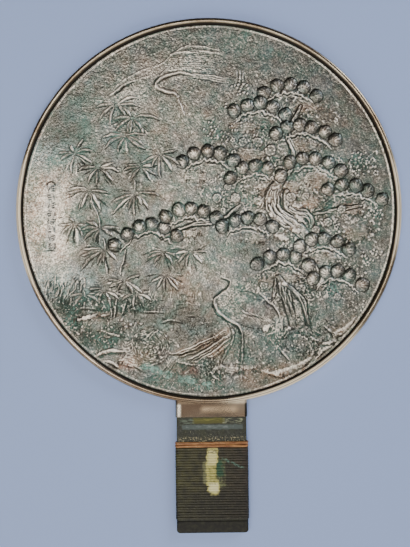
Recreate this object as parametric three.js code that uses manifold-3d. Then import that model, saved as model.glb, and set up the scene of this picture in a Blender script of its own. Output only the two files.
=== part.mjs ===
// A cast bronze hand mirror of the handled kind: a round plate with a raised rim and a flat handle, cast in
// one, whose back carries a low relief of pine, bamboo, two cranes and a tortoise. It lies on its polished
// face. The handle is wound with lacquered cord, and two turns of split cane bind the winding's upper end.
// Millimetres, +Z up, the handle towards -Y. The origin is the centre of the polished face.
import * as THREE from "three";
import { mergeVertices } from "three/addons/utils/BufferGeometryUtils.js";
import Module from "manifold-3d";

const wasm = await Module();
wasm.setup();

// ---- driving dimensions ----
const DISC_RADIUS = 121; // an eight-sun mirror
const FIELD_THICKNESS = 2.4;
const RIM_HEIGHT = 5.4;
const RIM_WIDTH = 2.8;
const RIM_WALL_RUN = 1.5; // how far the rim's inner wall leans in on its way down
const FIELD_RADIUS = DISC_RADIUS - RIM_WIDTH - RIM_WALL_RUN;
const TOTAL_LENGTH = 323;
const HANDLE_WIDTH = 45;
const HANDLE_THICKNESS = 4.4;
const EDGE_RUN = 2; // the bevel along the handle's long edges, across
const EDGE_DROP = 1.1; // and down
const HANDLE_CORNER = 2.2; // rounding of its two end corners, seen from above
const RIM_TUCK = 2.4; // how far the handle runs into the rim
const NECK_LENGTH = 8.5; // bare handle between the rim and the seat of the winding
const SEAT_DEPTH = 0.6; // how far the seat is let in at the sides
const SEAT_BOTTOM = 1.2;
const SEAT_EDGE = 0.6;
const SEAT_TOP = 3.9;
const BARE_SEAT = 15.4; // the stretch of seat whose winding is lost
const END_LENGTH = 7; // bare handle below the winding
const GAP = 0.3; // air between the winding and its seat
const CORD_PITCH = 1.6;
const CORD_WALL = 0.45; // thickness of the winding in the grooves between its turns
const SLEEVE_EDGE = 1.2; // chamfer of the winding's corners
const CORD_RIDGE = 0.3; // how far each turn stands above the grooves
const CANE_TURNS = 2;
const CANE_PITCH = 1.8;
const CANE_THICKNESS = 0.85;
const SINK = 0.25; // every relief figure reaches this far into the plate
const FLARE = 1.3; // and is wider there, so that it has its width at the field
const PICTURE_TURN = -0.7; // degrees by which the picture stands off the handle's axis
const DISC_SEGMENTS = 72;
const FULL_TURN = 2 * Math.PI;
const DEGREE = Math.PI / 180;

const rimFoot = -DISC_RADIUS; // where the handle leaves the disc, on the Y axis
const handleEnd = DISC_RADIUS - TOTAL_LENGTH;
const seatStart = rimFoot - NECK_LENGTH;
const seatEnd = handleEnd + END_LENGTH;
const caneStart = seatStart - BARE_SEAT;
const windingStart = caneStart - CANE_TURNS * CANE_PITCH - GAP;

// ---- solids ----

// A manifold solid of a closed three.js geometry.
function solid(geometry) {
  const bare = new THREE.BufferGeometry().setAttribute("position", geometry.getAttribute("position"));
  bare.setIndex(geometry.index);
  const merged = mergeVertices(bare, 1e-4);
  const corners = merged.index.array;
  const kept = [];
  for (let i = 0; i < corners.length; i += 3) {
    const [a, b, c] = [corners[i], corners[i + 1], corners[i + 2]];
    if (a !== b && b !== c && c !== a) kept.push(a, b, c);
  }
  const made = new wasm.Manifold(
    new wasm.Mesh({
      numProp: 3,
      vertProperties: new Float32Array(merged.getAttribute("position").array),
      triVerts: new Uint32Array(kept),
    }),
  );
  if (made.volume() <= 0) throw new Error("a solid is inside out");
  return made;
}

// The joined solids as one three.js geometry.
function geometryOf(made) {
  const mesh = made.getMesh();
  const positions = new Float32Array(mesh.numVert * 3);
  for (let i = 0; i < mesh.numVert; i++) {
    for (let k = 0; k < 3; k++) positions[3 * i + k] = mesh.vertProperties[mesh.numProp * i + k];
  }
  const geometry = new THREE.BufferGeometry().setAttribute("position", new THREE.BufferAttribute(positions, 3));
  geometry.setIndex(new THREE.BufferAttribute(mesh.triVerts, 1));
  return geometry.toNonIndexed();
}

function union(solids) {
  return wasm.Manifold.union(solids);
}

// A solid of revolution about +Z: the profile is [radius, z] from the axis round to the axis again.
function turned(profile, segments) {
  const points = profile.map(([radius, z]) => new THREE.Vector2(radius, z));
  return solid(new THREE.LatheGeometry(points, segments).rotateX(Math.PI / 2));
}

// A skin over rings of equal length, each a list of Vector3, closed by a fan over both ends.
function skinned(rings) {
  const count = rings[0].length;
  const positions = rings.flat().flatMap((point) => point.toArray());
  const faces = [];
  for (let i = 0; i + 1 < rings.length; i++) {
    for (let k = 0; k < count; k++) {
      const [a, b] = [i * count + k, i * count + ((k + 1) % count)];
      faces.push(a, b, a + count, b, b + count, a + count);
    }
  }
  const last = (rings.length - 1) * count;
  for (let k = 1; k + 1 < count; k++) faces.push(0, k + 1, k, last, last + k, last + k + 1);
  const geometry = new THREE.BufferGeometry();
  geometry.setAttribute("position", new THREE.Float32BufferAttribute(positions, 3));
  geometry.setIndex(faces);
  return geometry;
}

// ---- relief figures, each a small closed solid that stands on the field ----

const onField = (x, y, height) => new THREE.Vector3(x, y, FIELD_THICKNESS + height);

// A round or oval boss with a flattened crown.
function boss({ x, y, rx, ry = rx, turn = 0, height, sides = 8, crown = 0.7 }) {
  const shape = new THREE.LatheGeometry(
    [
      [0, -SINK],
      [1, -SINK],
      [crown, 0.8 * height],
      [0, height],
    ].map(([radius, z]) => new THREE.Vector2(radius, z)),
    sides,
  );
  shape.rotateX(Math.PI / 2).scale(rx, ry, 1).rotateZ(turn * DEGREE);
  return solid(shape.translate(x, y, FIELD_THICKNESS));
}

// A ridge with a sharp crest along a smooth path of [x, y] points. Its half width and height follow the path.
function ridge(path, halfWidth, height, steps) {
  const curve = new THREE.CatmullRomCurve3(path.map(([x, y]) => new THREE.Vector3(x, y, 0)), false, "centripetal");
  const rings = [];
  for (let i = 0; i <= steps; i++) {
    const t = i / steps;
    const at = curve.getPoint(t);
    const along = curve.getTangent(t);
    const side = new THREE.Vector3(-along.y, along.x, 0).multiplyScalar(FLARE * halfWidth(t));
    rings.push([
      onField(at.x + side.x, at.y + side.y, -SINK),
      onField(at.x, at.y, height(t)),
      onField(at.x - side.x, at.y - side.y, -SINK),
    ]);
  }
  return solid(skinned(rings));
}

const tapered = (full, end = 0.25) => (t) => full * (1 - (1 - end) * t);
const bothEnds = (full, end = 0.3) => (t) => full * (end + (1 - end) * Math.sin(Math.PI * t));
const waving = (full, waves) => (t) => full * (0.8 + 0.2 * Math.cos(FULL_TURN * waves * t));

// A blade, such as a bamboo leaf or a long feather: pointed at both ends and bent towards its tip.
function blade({ x, y, heading, length, width, height, droop = 0, steps = 2 }) {
  const direction = heading * DEGREE;
  const bent = direction + droop * DEGREE;
  const middle = [x + 0.5 * length * Math.cos(direction), y + 0.5 * length * Math.sin(direction)];
  const tip = [middle[0] + 0.5 * length * Math.cos(bent), middle[1] + 0.5 * length * Math.sin(bent)];
  const swell = (t) => Math.sin(Math.PI * t);
  return ridge([[x, y], middle, tip], (t) => 0.5 * width * swell(t), (t) => height * swell(t) - 0.1, steps);
}

// ---- pine ----

const TUFT_RADIUS = 4.1;
const TUFT_SIDES = 6;
const TUFT_HEIGHT = 1.25;
const TWIG_DROP = 7.2; // from the tufts' centres to the twig that carries them
const PINE_PADS = [
  { x: 51.4, y: 73.5, span: 33.2, rise: 6.9, tilt: -2.4 },
  { x: 32.2, y: 62.2, span: 32.1, rise: 5.9, tilt: -1.9 },
  { x: 60.9, y: 46.7, span: 38.8, rise: 7, tilt: -5.5, tufts: 6 },
  { x: 67, y: 28, span: 32, rise: 5.2, tilt: -5.1 },
  { x: 29.3, y: 21.8, span: 32.2, rise: 6.8, tilt: 1.6 },
  { x: -0.9, y: 31.6, span: 32.1, rise: 6.4, tilt: 0.8 },
  { x: 92.1, y: 10.5, span: 34, rise: 5.9, tilt: -6.8 },
  { x: -39.7, y: -18.5, span: 38.4, rise: 9.5, tilt: 6.3, tufts: 6 },
  { x: -11.2, y: -3.9, span: 32.1, rise: 5.5, tilt: -0.8 },
  { x: 24.6, y: -9.7, span: 31.6, rise: 5.7, tilt: -0.3 },
  { x: 46.7, y: -33.9, span: 31.6, rise: 6.7, tilt: -0.8 },
  { x: 72.8, y: -22.9, span: 31.6, rise: 6, tilt: -2.3 },
  { x: 81.3, y: -44.4, span: 31.3, rise: 6.6, tilt: -3.7 },
];

// The point of a pad's arch at t, which runs from -0.5 to 0.5.
function onPad(pad, t) {
  return [pad.x + pad.span * t, pad.y + pad.rise * (1 - 4 * t * t) + pad.tilt * t];
}

function pinePad(pad) {
  const count = pad.tufts ?? 5;
  const made = [];
  for (let i = 0; i < count; i++) {
    const [x, y] = onPad(pad, i / (count - 1) - 0.5);
    made.push(boss({ x, y, rx: TUFT_RADIUS, height: TUFT_HEIGHT, sides: TUFT_SIDES }));
  }
  const twig = [];
  const bends = 4;
  for (let i = 0; i <= bends; i++) {
    const t = i / bends - 0.5;
    const [x, y] = onPad(pad, 0.86 * t);
    const fall = TWIG_DROP - 0.35 * pad.rise * (1 - 4 * t * t);
    twig.push([x, y - fall + (i % 2 ? 0.8 : -0.6)]);
  }
  made.push(ridge(twig, bothEnds(0.9), bothEnds(0.8), bends));
  return made;
}

const TRUNK_LIMBS = [
  { path: [[43, 20], [37.5, 9.1], [40.4, 0.4], [48.3, -6.7], [57.7, -12.2]], width: 8, height: 1.3, end: 0.9 },
  { path: [[50, 8.3], [54.6, 2], [65.6, -0.3], [66.8, -7.5], [58, -12]], width: 5, height: 1.1, end: 0.8 },
  { path: [[56, -12], [54, -24], [50, -38], [53, -52], [49, -70]], width: 12, height: 1.2, end: 1.1 },
  { path: [[50.6, -39.8], [57.7, -50.1], [60.1, -61.2], [59.3, -72.2]], width: 4, height: 1.4, end: 0.7 },
  { path: [[36, 9], [20, 4], [-6, -10], [-30, -18.5]], width: 2.6, height: 0.7, end: 0.5 },
  { path: [[43, 18], [52, 32], [50, 48], [58, 68]], width: 4, height: 0.9, end: 0.4 },
  { path: [[66, -2], [80, 1], [95, 4]], width: 3, height: 0.8, end: 0.4 },
];

function trunk() {
  return TRUNK_LIMBS.map(({ path, width, height, end }) =>
    ridge(path, tapered(width / 2, end), waving(height, 5), 8),
  );
}

// Bark plates: flat ovals between the pads.
const BARK_PLATES = [
  { x: 26, y: 36, rx: 7, ry: 3.4, turn: -8 },
  { x: 32.5, y: 16.8, rx: 5.2, ry: 2.4, turn: 4 },
  { x: 67, y: 21, rx: 7.6, ry: 4.2, turn: -8 },
  { x: 58, y: 64.5, rx: 6.2, ry: 4.4, turn: -30 },
  { x: 92, y: -15, rx: 6, ry: 5, turn: 15 },
];

// ---- bamboo ----

const LEAF_LENGTH = 13;
const LEAF_WIDTH = 2.1;
const LEAF_HEIGHT = 0.85;
const LEAF_HEADINGS = [170, 204, 238, 272, 306, 340];
const SPRAYS = [
  { x: -56.8, y: 66.8 },
  { x: -46.5, y: 57.3 },
  { x: -52.1, y: 47.1 },
  { x: -85.2, y: 36.8, size: 0.85 },
  { x: -71, y: 26.5 },
  { x: -42.6, y: 27.3 },
  { x: -29.9, y: 35.2 },
  { x: -72.6, y: 12.3, size: 1.1 },
  { x: -46.5, y: 12.3, size: 1.15 },
  { x: -85.2, y: -8.2, size: 0.85 },
  { x: -68.7, y: -11.4 },
  { x: -64.2, y: -25.6 },
  { x: -29.2, y: -24.8, size: 0.9 },
  { x: -9.4, y: -24.8, size: 0.8 },
  { x: -52.9, y: -45.4 },
  { x: -26.8, y: -39.8, size: 0.9 },
  { x: -65, y: -49.5 },
];
const CULMS = [
  [[-59.2, -69.1], [-61.5, -48.5], [-64.2, -25.6], [-68.7, -11.4], [-72.6, 12.3], [-71, 26.5]],
  [[-53.6, -66.7], [-54.4, -42.2], [-51.6, -27.2], [-48.1, -4.3], [-46.5, 12.3], [-42.6, 27.3]],
];

function spray({ x, y, size = 1 }) {
  return LEAF_HEADINGS.map((heading, i) => {
    const away = Math.cos(heading * DEGREE);
    return blade({
      x: x + 1.4 * Math.cos(heading * DEGREE),
      y: y + 1.4 * Math.sin(heading * DEGREE),
      heading,
      length: size * LEAF_LENGTH * (i % 2 ? 1 : 0.82),
      width: LEAF_WIDTH,
      height: LEAF_HEIGHT,
      droop: away < 0 ? 26 * -away : -26 * away,
    });
  });
}

function bamboo() {
  const culms = CULMS.map((path) => ridge(path, tapered(0.85, 0.6), waving(0.75, 9), 10));
  return [...SPRAYS.flatMap(spray), ...culms];
}

// ---- cranes ----

// Long feathers side by side: from one root line to the other end of it, turning from one heading to another.
function feathers({ from, to, headings, lengths, count, width, height }) {
  const made = [];
  for (let i = 0; i < count; i++) {
    const t = i / (count - 1);
    const mix = ([a, b]) => a + (b - a) * t;
    made.push(
      blade({
        x: mix([from[0], to[0]]),
        y: mix([from[1], to[1]]),
        heading: mix(headings),
        length: mix(lengths),
        width,
        height,
        steps: 3,
      }),
    );
  }
  return made;
}

function flyingCrane() {
  const neck = [[-8, 86], [-21.2, 87.3], [-29.2, 85.8], [-33.1, 82.3], [-32.6, 78.7], [-29.2, 76], [-22.8, 74.7], [-19.4, 71.9]];
  return [
    ridge(neck, tapered(1.3, 0.55), tapered(1.1, 0.7), 14),
    blade({ x: -20, y: 72.5, heading: -67, length: 12, width: 1.6, height: 0.8 }),
    boss({ x: -8, y: 87.5, rx: 17, ry: 4, turn: -5, height: 1, sides: 10 }),
    ...feathers({ from: [-30, 89], to: [-22, 94], headings: [205, 215], lengths: [38, 30], count: 3, width: 2.4, height: 0.6 }),
    ...feathers({ from: [-24, 90], to: [-22, 101], headings: [-3, -2], lengths: [34, 36], count: 6, width: 2.6, height: 0.6 }),
    ...feathers({ from: [4, 88], to: [4, 84], headings: [-2, -10], lengths: [20, 18], count: 4, width: 1.7, height: 0.6 }),
    ridge([[14, 84], [24, 84.5]], bothEnds(0.5), bothEnds(0.5), 3),
  ];
}

function standingCrane() {
  const front = [[13.2, -45.7], [12.2, -49.3], [7.2, -53], [2.9, -57.2], [2.9, -61.2], [7.2, -66.2], [13.5, -70.3], [18.6, -74.1]];
  return [
    ridge(front, bothEnds(1.5, 0.6), bothEnds(1.3, 0.7), 14),
    blade({ x: 13.4, y: -45.3, heading: 137, length: 7, width: 1.3, height: 0.7 }),
    ridge([[18.6, -74.1], [20.6, -80.1], [20.6, -92.8], [19, -103.8]], tapered(0.9, 0.6), tapered(1, 0.6), 8),
    ridge([[13.5, -71], [15.1, -80.1], [8.5, -97.5]], tapered(0.7, 0.6), tapered(0.8, 0.6), 6),
    boss({ x: 26.5, y: -62.5, rx: 17, ry: 9.5, turn: -16, height: 1.1, sides: 12 }),
    ...feathers({ from: [36, -58], to: [34, -68], headings: [-50, -75], lengths: [14, 13], count: 4, width: 2.2, height: 1.1 }),
  ];
}

// ---- tortoise and ground ----

function tortoise() {
  const [x, y] = [-32.3, -85.5];
  const limbs = [[35, 5], [118, 5], [205, 5], [300, 5]];
  const tail = feathers({ from: [x - 9, y + 1], to: [x - 6, y - 6], headings: [170, 215], lengths: [11, 10], count: 5, width: 1.4, height: 0.6 });
  return [
    boss({ x, y, rx: 10.5, ry: 8.6, turn: 20, height: 1.5, sides: 12 }),
    boss({ x: x - 1.5, y: y + 10, rx: 2.2, ry: 3.2, turn: -20, height: 1.1, sides: 7 }),
    ...limbs.map(([heading, length]) =>
      blade({ x: x + 8 * Math.cos(heading * DEGREE), y: y + 7 * Math.sin(heading * DEGREE), heading, length, width: 2.8, height: 0.8 }),
    ),
    ...tail,
  ];
}

const ROCKS = [
  { path: [[-23.6, -90.9], [-14, -89], [-8.6, -85.7]], width: 2.4, height: 0.8 },
  { path: [[-7, -94.4], [3, -89.5], [11.9, -83.3]], width: 3.4, height: 1.1 },
  { path: [[-7.8, -88], [3, -82], [12.5, -75.8]], width: 3.6, height: 1.2 },
  { path: [[-90, -70.5], [-78, -66.5], [-65, -65]], width: 4, height: 1 },
  { path: [[-71.5, -90], [-62, -87], [-51.5, -88.4]], width: 4.4, height: 1.2 },
  { path: [[-66, -80.5], [-58, -78], [-50, -80.5]], width: 2.4, height: 0.8 },
  { path: [[-46, -64], [-30, -63.2], [-14, -66.5]], width: 1.6, height: 0.7 },
  { path: [[2, -98], [14, -97.4], [27, -98.4]], width: 2.6, height: 0.8 },
  { path: [[34, -102.5], [46, -99.5], [60, -95.5]], width: 5, height: 0.8 },
  { path: [[72, -85], [79, -79], [86, -71]], width: 6, height: 0.8 },
  { path: [[30, -80], [40, -87], [52, -92]], width: 2.2, height: 0.9 },
  { path: [[64, -74], [72, -77], [76, -84]], width: 2, height: 0.8 },
];

function ground() {
  return ROCKS.map(({ path, width, height }) => ridge(path, bothEnds(width / 2, 0.2), bothEnds(height, 0.2), 4));
}

// A maker's column as rows of short strokes that spell nothing, between two bracket strokes.
function strokeColumn() {
  const column = { x: -98.7, top: 17.4, bottom: -24.4, rows: 11, width: 4 };
  const made = [];
  for (let i = 0; i <= column.rows; i++) {
    const y = column.top + (column.bottom - column.top) * (i / column.rows);
    const reach = (0.34 + 0.16 * Math.cos(2.4 * i)) * column.width;
    made.push(ridge([[column.x - reach, y], [column.x + reach, y + 0.2]], () => 0.45, () => 0.5, 1));
  }
  return made;
}

// ---- the casting ----

function disc() {
  const edge = 0.8;
  const profile = [
    [0, 0],
    [DISC_RADIUS - edge, 0],
    [DISC_RADIUS, edge],
    [DISC_RADIUS, RIM_HEIGHT - edge],
    [DISC_RADIUS - RIM_WIDTH / 2, RIM_HEIGHT],
    [DISC_RADIUS - RIM_WIDTH, RIM_HEIGHT - 0.25],
    [FIELD_RADIUS + 0.35, FIELD_THICKNESS + 0.5],
    [FIELD_RADIUS - 0.5, FIELD_THICKNESS],
    [0, FIELD_THICKNESS],
  ];
  return turned(profile, DISC_SEGMENTS);
}

// A slab along Y with bevelled long edges, wider on its upper side.
function slab(yFrom, yTo, halfWidth, zLow, zHigh, run, drop) {
  const section = (y) =>
    [
      [-halfWidth + drop, zLow],
      [halfWidth - drop, zLow],
      [halfWidth, zLow + drop],
      [halfWidth, zHigh - drop],
      [halfWidth - run, zHigh],
      [-halfWidth + run, zHigh],
      [-halfWidth, zHigh - drop],
      [-halfWidth, zLow + drop],
    ].map(([x, z]) => new THREE.Vector3(x, y, z));
  return solid(skinned([section(yTo), section(yFrom)]));
}

// What lies inside the handle's plan outline, whose two end corners are rounded.
function endTrim() {
  const half = HANDLE_WIDTH / 2;
  const shape = new THREE.Shape();
  shape.moveTo(-half - 1, 0);
  shape.lineTo(-half, handleEnd + HANDLE_CORNER + 1);
  shape.lineTo(-half, handleEnd + HANDLE_CORNER);
  shape.absarc(-half + HANDLE_CORNER, handleEnd + HANDLE_CORNER, HANDLE_CORNER, Math.PI, 1.5 * Math.PI);
  shape.absarc(half - HANDLE_CORNER, handleEnd + HANDLE_CORNER, HANDLE_CORNER, 1.5 * Math.PI, FULL_TURN);
  shape.lineTo(half, handleEnd + HANDLE_CORNER + 1);
  shape.lineTo(half + 1, 0);
  const depth = 2 * HANDLE_THICKNESS;
  const trim = new THREE.ExtrudeGeometry(shape, { depth, bevelEnabled: false, curveSegments: 5 });
  return solid(trim.translate(0, 0, -HANDLE_THICKNESS / 2));
}

function handle() {
  const half = HANDLE_WIDTH / 2;
  const neck = slab(seatStart, rimFoot + RIM_TUCK, half, 0, HANDLE_THICKNESS, EDGE_RUN, EDGE_DROP);
  const seat = slab(seatEnd - 1, seatStart + 1, half - SEAT_DEPTH, SEAT_BOTTOM, SEAT_TOP, SEAT_EDGE, SEAT_EDGE);
  const end = slab(handleEnd, seatEnd, half, 0, HANDLE_THICKNESS, EDGE_RUN, EDGE_DROP);
  return union([neck, seat, end]).intersect(endTrim());
}

function casting() {
  const figures = [
    ...PINE_PADS.flatMap(pinePad),
    ...trunk(),
    ...BARK_PLATES.map((plate) => boss({ ...plate, height: 0.75, sides: 9, crown: 0.85 })),
    ...bamboo(),
    ...flyingCrane(),
    ...standingCrane(),
    ...tortoise(),
    ...ground(),
    ...strokeColumn(),
  ];
  return union([disc(), handle(), union(figures).rotate([0, 0, PICTURE_TURN])]);
}

// ---- the handle's winding ----

// A sleeve round the seat: rings of a chamfered oblong at [y, thickness], with the seat's hole through it.
function sleeve(stations) {
  const half = HANDLE_WIDTH / 2 - SEAT_DEPTH + GAP;
  const [low, high] = [SEAT_BOTTOM - GAP, SEAT_TOP + GAP];
  const oblong = (y, thickness, corner) =>
    [
      [-half - thickness + corner, low - thickness],
      [half + thickness - corner, low - thickness],
      [half + thickness, low - thickness + corner],
      [half + thickness, high + thickness - corner],
      [half + thickness - corner, high + thickness],
      [-half - thickness + corner, high + thickness],
      [-half - thickness, high + thickness - corner],
      [-half - thickness, low - thickness + corner],
    ].map(([x, z]) => new THREE.Vector3(x, y, z));
  const outside = skinned(stations.map(([y, thickness]) => oblong(y, thickness, SLEEVE_EDGE)));
  const ys = stations.map(([y]) => y);
  const hole = skinned([oblong(Math.max(...ys) + 1, 0, SEAT_EDGE), oblong(Math.min(...ys) - 1, 0, SEAT_EDGE)]);
  return solid(outside).subtract(solid(hole));
}

// Turns of a round strand laid side by side along -Y.
function turns(start, count, pitch, groove, crest) {
  const stations = [[start, groove]];
  for (let i = 0; i < count; i++) {
    stations.push([start - (i + 0.5) * pitch, crest], [start - (i + 1) * pitch, groove]);
  }
  return sleeve(stations);
}

function winding() {
  const count = Math.floor((windingStart - seatEnd - GAP) / CORD_PITCH);
  return turns(windingStart, count, CORD_PITCH, CORD_WALL, CORD_WALL + CORD_RIDGE);
}

function caneBinding() {
  return turns(caneStart, CANE_TURNS, CANE_PITCH, CANE_THICKNESS / 2, CANE_THICKNESS);
}

// ---- the scene graph ----

function piece(name, made, colour, roughness, metalness) {
  const material = new THREE.MeshStandardMaterial({ color: colour, roughness, metalness });
  const mesh = new THREE.Mesh(geometryOf(made), material);
  mesh.name = name;
  return mesh;
}

const mirror = new THREE.Group();
mirror.add(
  piece("mirror_casting", casting(), "#77705c", 0.45, 0.8),
  piece("grip_winding", winding(), "#3a3629", 0.6, 0),
  piece("cane_binding", caneBinding(), "#b0652e", 0.5, 0),
);

export default mirror;
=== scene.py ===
import math

import bpy
import numpy as np
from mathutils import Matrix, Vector


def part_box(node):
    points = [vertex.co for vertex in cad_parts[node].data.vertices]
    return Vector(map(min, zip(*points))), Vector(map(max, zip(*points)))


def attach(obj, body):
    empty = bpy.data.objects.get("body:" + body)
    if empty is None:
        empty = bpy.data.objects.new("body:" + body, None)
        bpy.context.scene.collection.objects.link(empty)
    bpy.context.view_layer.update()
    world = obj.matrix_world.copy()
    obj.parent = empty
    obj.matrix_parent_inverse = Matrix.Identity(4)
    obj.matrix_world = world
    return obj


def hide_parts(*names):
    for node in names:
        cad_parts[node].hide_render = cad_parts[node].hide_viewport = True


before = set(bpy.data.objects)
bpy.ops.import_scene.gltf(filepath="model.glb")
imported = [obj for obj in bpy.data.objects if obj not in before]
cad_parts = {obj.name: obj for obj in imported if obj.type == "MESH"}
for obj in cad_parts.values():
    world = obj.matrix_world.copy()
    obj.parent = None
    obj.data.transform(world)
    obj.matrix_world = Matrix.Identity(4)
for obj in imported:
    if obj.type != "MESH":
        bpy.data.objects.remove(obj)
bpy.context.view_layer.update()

mm = 0.001
castLow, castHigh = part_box("mirror_casting")
windLow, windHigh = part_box("grip_winding")
caneLow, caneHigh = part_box("cane_binding")
luck = np.random.default_rng(88)


def linear(hexColour):
    channels = [int(hexColour[i:i + 2], 16) / 255 for i in (1, 3, 5)]
    return [c / 12.92 if c <= 0.04045 else ((c + 0.055) / 1.055) ** 2.4 for c in channels] + [1.0]


# sets a node's inputs; each is a plain value or the socket that feeds it
def plug(tree, node, inputs):
    for key, value in inputs.items():
        if isinstance(value, bpy.types.NodeSocket):
            tree.links.new(value, node.inputs[key])
        else:
            node.inputs[key].default_value = value


# adds one node with its settings and links, and gives one of its outputs
def addNode(tree, kind, inputs, output=0, **settings):
    node = tree.nodes.new("ShaderNode" + kind)
    for name, value in settings.items():
        setattr(node, name, value)
    plug(tree, node, inputs)
    return node.outputs[output]


def newMaterial(name):
    material = bpy.data.materials.new(name)
    material.use_nodes = True
    return material, material.node_tree, material.node_tree.nodes["Principled BSDF"]


def deselectAll():
    if bpy.context.object and bpy.context.object.mode != "OBJECT":
        bpy.ops.object.mode_set(mode="OBJECT")
    bpy.ops.object.select_all(action="DESELECT")


# gives a new object its name and moves its place and scale into its mesh
def settled(name):
    bpy.context.object.name = name
    bpy.ops.object.transform_apply(location=True, rotation=True, scale=True)
    return bpy.context.object


# selects the faces or edges of the active object that the test accepts, and leaves it in edit mode
def selectParts(obj, kind, accept):
    bpy.ops.object.mode_set(mode="EDIT")
    bpy.ops.mesh.select_mode(type=kind)
    bpy.ops.mesh.select_all(action="DESELECT")
    bpy.ops.object.mode_set(mode="OBJECT")
    mesh = obj.data
    if kind == "FACE":
        for face in mesh.polygons:
            face.select = bool(accept(face.center / mm, face.normal))
    else:
        for edge in mesh.edges:
            first, second = (mesh.vertices[i].co / mm for i in edge.vertices)
            edge.select = bool(accept(first, second))
    bpy.ops.object.mode_set(mode="EDIT")


# bevels the edges that the test accepts; the offset is in mm
def bevelEdges(obj, accept, offset, segments):
    selectParts(obj, "EDGE", accept)
    bpy.ops.mesh.bevel(offset=offset * mm, segments=segments, affect="EDGES")


# ---- camera, floor and light
view = {
    "aimX": -2.9, "aimY": -39.4,    # the point under the lens, mm
    "distance": 400.0,
    "framed": 342.0,                # length of floor that fills the picture's height, mm
    "roll": -0.7,                   # degrees
    "sensor": 36.0, "nearest": 10.0,
}
camera = bpy.data.objects.new("camera", bpy.data.cameras.new("camera"))
bpy.context.scene.collection.objects.link(camera)
camera.location = (view["aimX"] * mm, view["aimY"] * mm, view["distance"] * mm)
camera.rotation_euler = (0, 0, math.radians(view["roll"]))
camera.data.sensor_width = view["sensor"]
camera.data.lens = view["sensor"] * (view["distance"] - castHigh.z / mm) / view["framed"]
camera.data.clip_start = view["nearest"] * mm
bpy.context.scene.camera = camera

board = {"size": 40.0, "drop": 0.2, "colour": "#a9bff0", "roughness": 0.8, "specular": 0.2}
bpy.ops.mesh.primitive_plane_add(size=board["size"], location=(0, 0, -board["drop"] * mm))
floor = bpy.context.object
floor.name = "floor"
material, tree, shader = newMaterial("paintedBoard")
plug(tree, shader, {"Base Color": linear(board["colour"]), "Roughness": board["roughness"],
                    "Specular IOR Level": board["specular"]})
floor.data.materials.append(material)

# a soft surround that falls off toward the far side
sky = {"bright": "#eef1f4", "dim": "#2c2c30", "strength": 0.6, "brightTo": -0.8, "dimFrom": 0.35}
world = bpy.data.worlds.new("studio")
bpy.context.scene.world = world
world.use_nodes = True
tree = world.node_tree
direction = addNode(tree, "TexCoord", {}, "Generated")
northing = addNode(tree, "SeparateXYZ", {"Vector": direction}, "Y")
fall = addNode(tree, "MapRange", {"Value": northing, "From Min": sky["brightTo"], "From Max": sky["dimFrom"]},
               interpolation_type="SMOOTHSTEP")
surround = addNode(tree, "Mix", {0: fall, 6: linear(sky["bright"]), 7: linear(sky["dim"])}, 2,
                   data_type="RGBA")
plug(tree, tree.nodes["Background"], {"Color": surround, "Strength": sky["strength"]})

# name, place in m, width and depth in m, power in W, colour
lamps = [
    ("frontSky", (0.0, -0.95, 0.62), 1.5, 0.6, 4.5, "#fff6ea"),
    ("overhead", (-0.16, 0.04, 1.2), 0.7, 0.5, 4.2, "#fffaf2"),
    ("leftCard", (-0.4, 0.04, 0.8), 0.2, 0.45, 1.5, "#fff7ea"),
    ("rightCard", (0.39, 0.06, 0.8), 0.1, 0.32, 0.4, "#fff7ea"),
    ("cornerCard", (0.2, -0.26, 0.8), 0.1, 0.1, 0.2, "#fff7ea"),
    ("skyRight", (0.9, 0.75, 0.55), 0.5, 0.5, 7.0, "#f0f4ff"),
]
lampAim = Vector((0, -0.03, 0))
for name, place, width, depth, power, colour in lamps:
    light = bpy.data.lights.new(name, "AREA")
    light.shape = "RECTANGLE"
    light.size = width
    light.size_y = depth
    light.energy = power
    light.color = linear(colour)[:3]
    lamp = bpy.data.objects.new(name, light)
    lamp.location = place
    lamp.rotation_euler = (lampAim - Vector(place)).to_track_quat("-Z", "Y").to_euler()
    bpy.context.scene.collection.objects.link(lamp)
print("stage ready")


# ---- the sheet on which the relief is drawn, in mm above the field
sheet = {
    "cell": 0.2,
    "half": 118.6,
    "turn": 0.7,          # degrees that the picture stands off the handle's axis
    "worn": 0.2,          # softening by wear, mm
    "spare": 0.8,         # room for the hand's straying, mm
}
cell, half = sheet["cell"], sheet["half"]
axis = np.arange(-half, half + cell / 2, cell)
sheetX, sheetY = np.meshgrid(axis, axis)
relief = np.zeros_like(sheetX)
tone = np.zeros_like(sheetX)     # above 0 bright: worn ridges and painted highlights; below 0 dark: painted shade, and darker hollows
gold = np.zeros_like(sheetX)     # where the rubbed metal shows its own colour, and the warm colour of the painted highlight along the field's foot
moss = np.zeros_like(sheetX)     # where verdigris gathers between small forms

frequency = np.fft.fftfreq(len(axis), cell)
frequencySquared = frequency[:, None] ** 2 + frequency[None, :] ** 2


def blurred(values, reach):
    return np.fft.ifft2(np.fft.fft2(values) * np.exp(-2 * (np.pi * reach) ** 2 * frequencySquared)).real


def speckle(reach):
    noise = blurred(luck.standard_normal(relief.shape), reach)
    return noise / noise.std()


# the hand's unsteadiness moves every outline a little
handX, handY = [0.2 * speckle(1.6) + 0.1 * speckle(0.6) for _ in range(2)]


# the part of the sheet within reach of a box, and its coordinates
def near(lowX, lowY, highX, highY):
    spare = sheet["spare"]
    edges = [(v + half) / cell for v in (lowX - spare, highX + spare, lowY - spare, highY + spare)]
    left, right, bottom, top = [int(min(max(e, 0), len(axis) - 1)) for e in edges]
    part = (slice(bottom, top + 2), slice(left, right + 2))
    return part, sheetX[part] + handX[part], sheetY[part] + handY[part]


def around(x, y, reach):
    return near(x - reach, y - reach, x + reach, y + reach)


def moved(path, x, y):
    return np.array(path, float) + (x, y)


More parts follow.
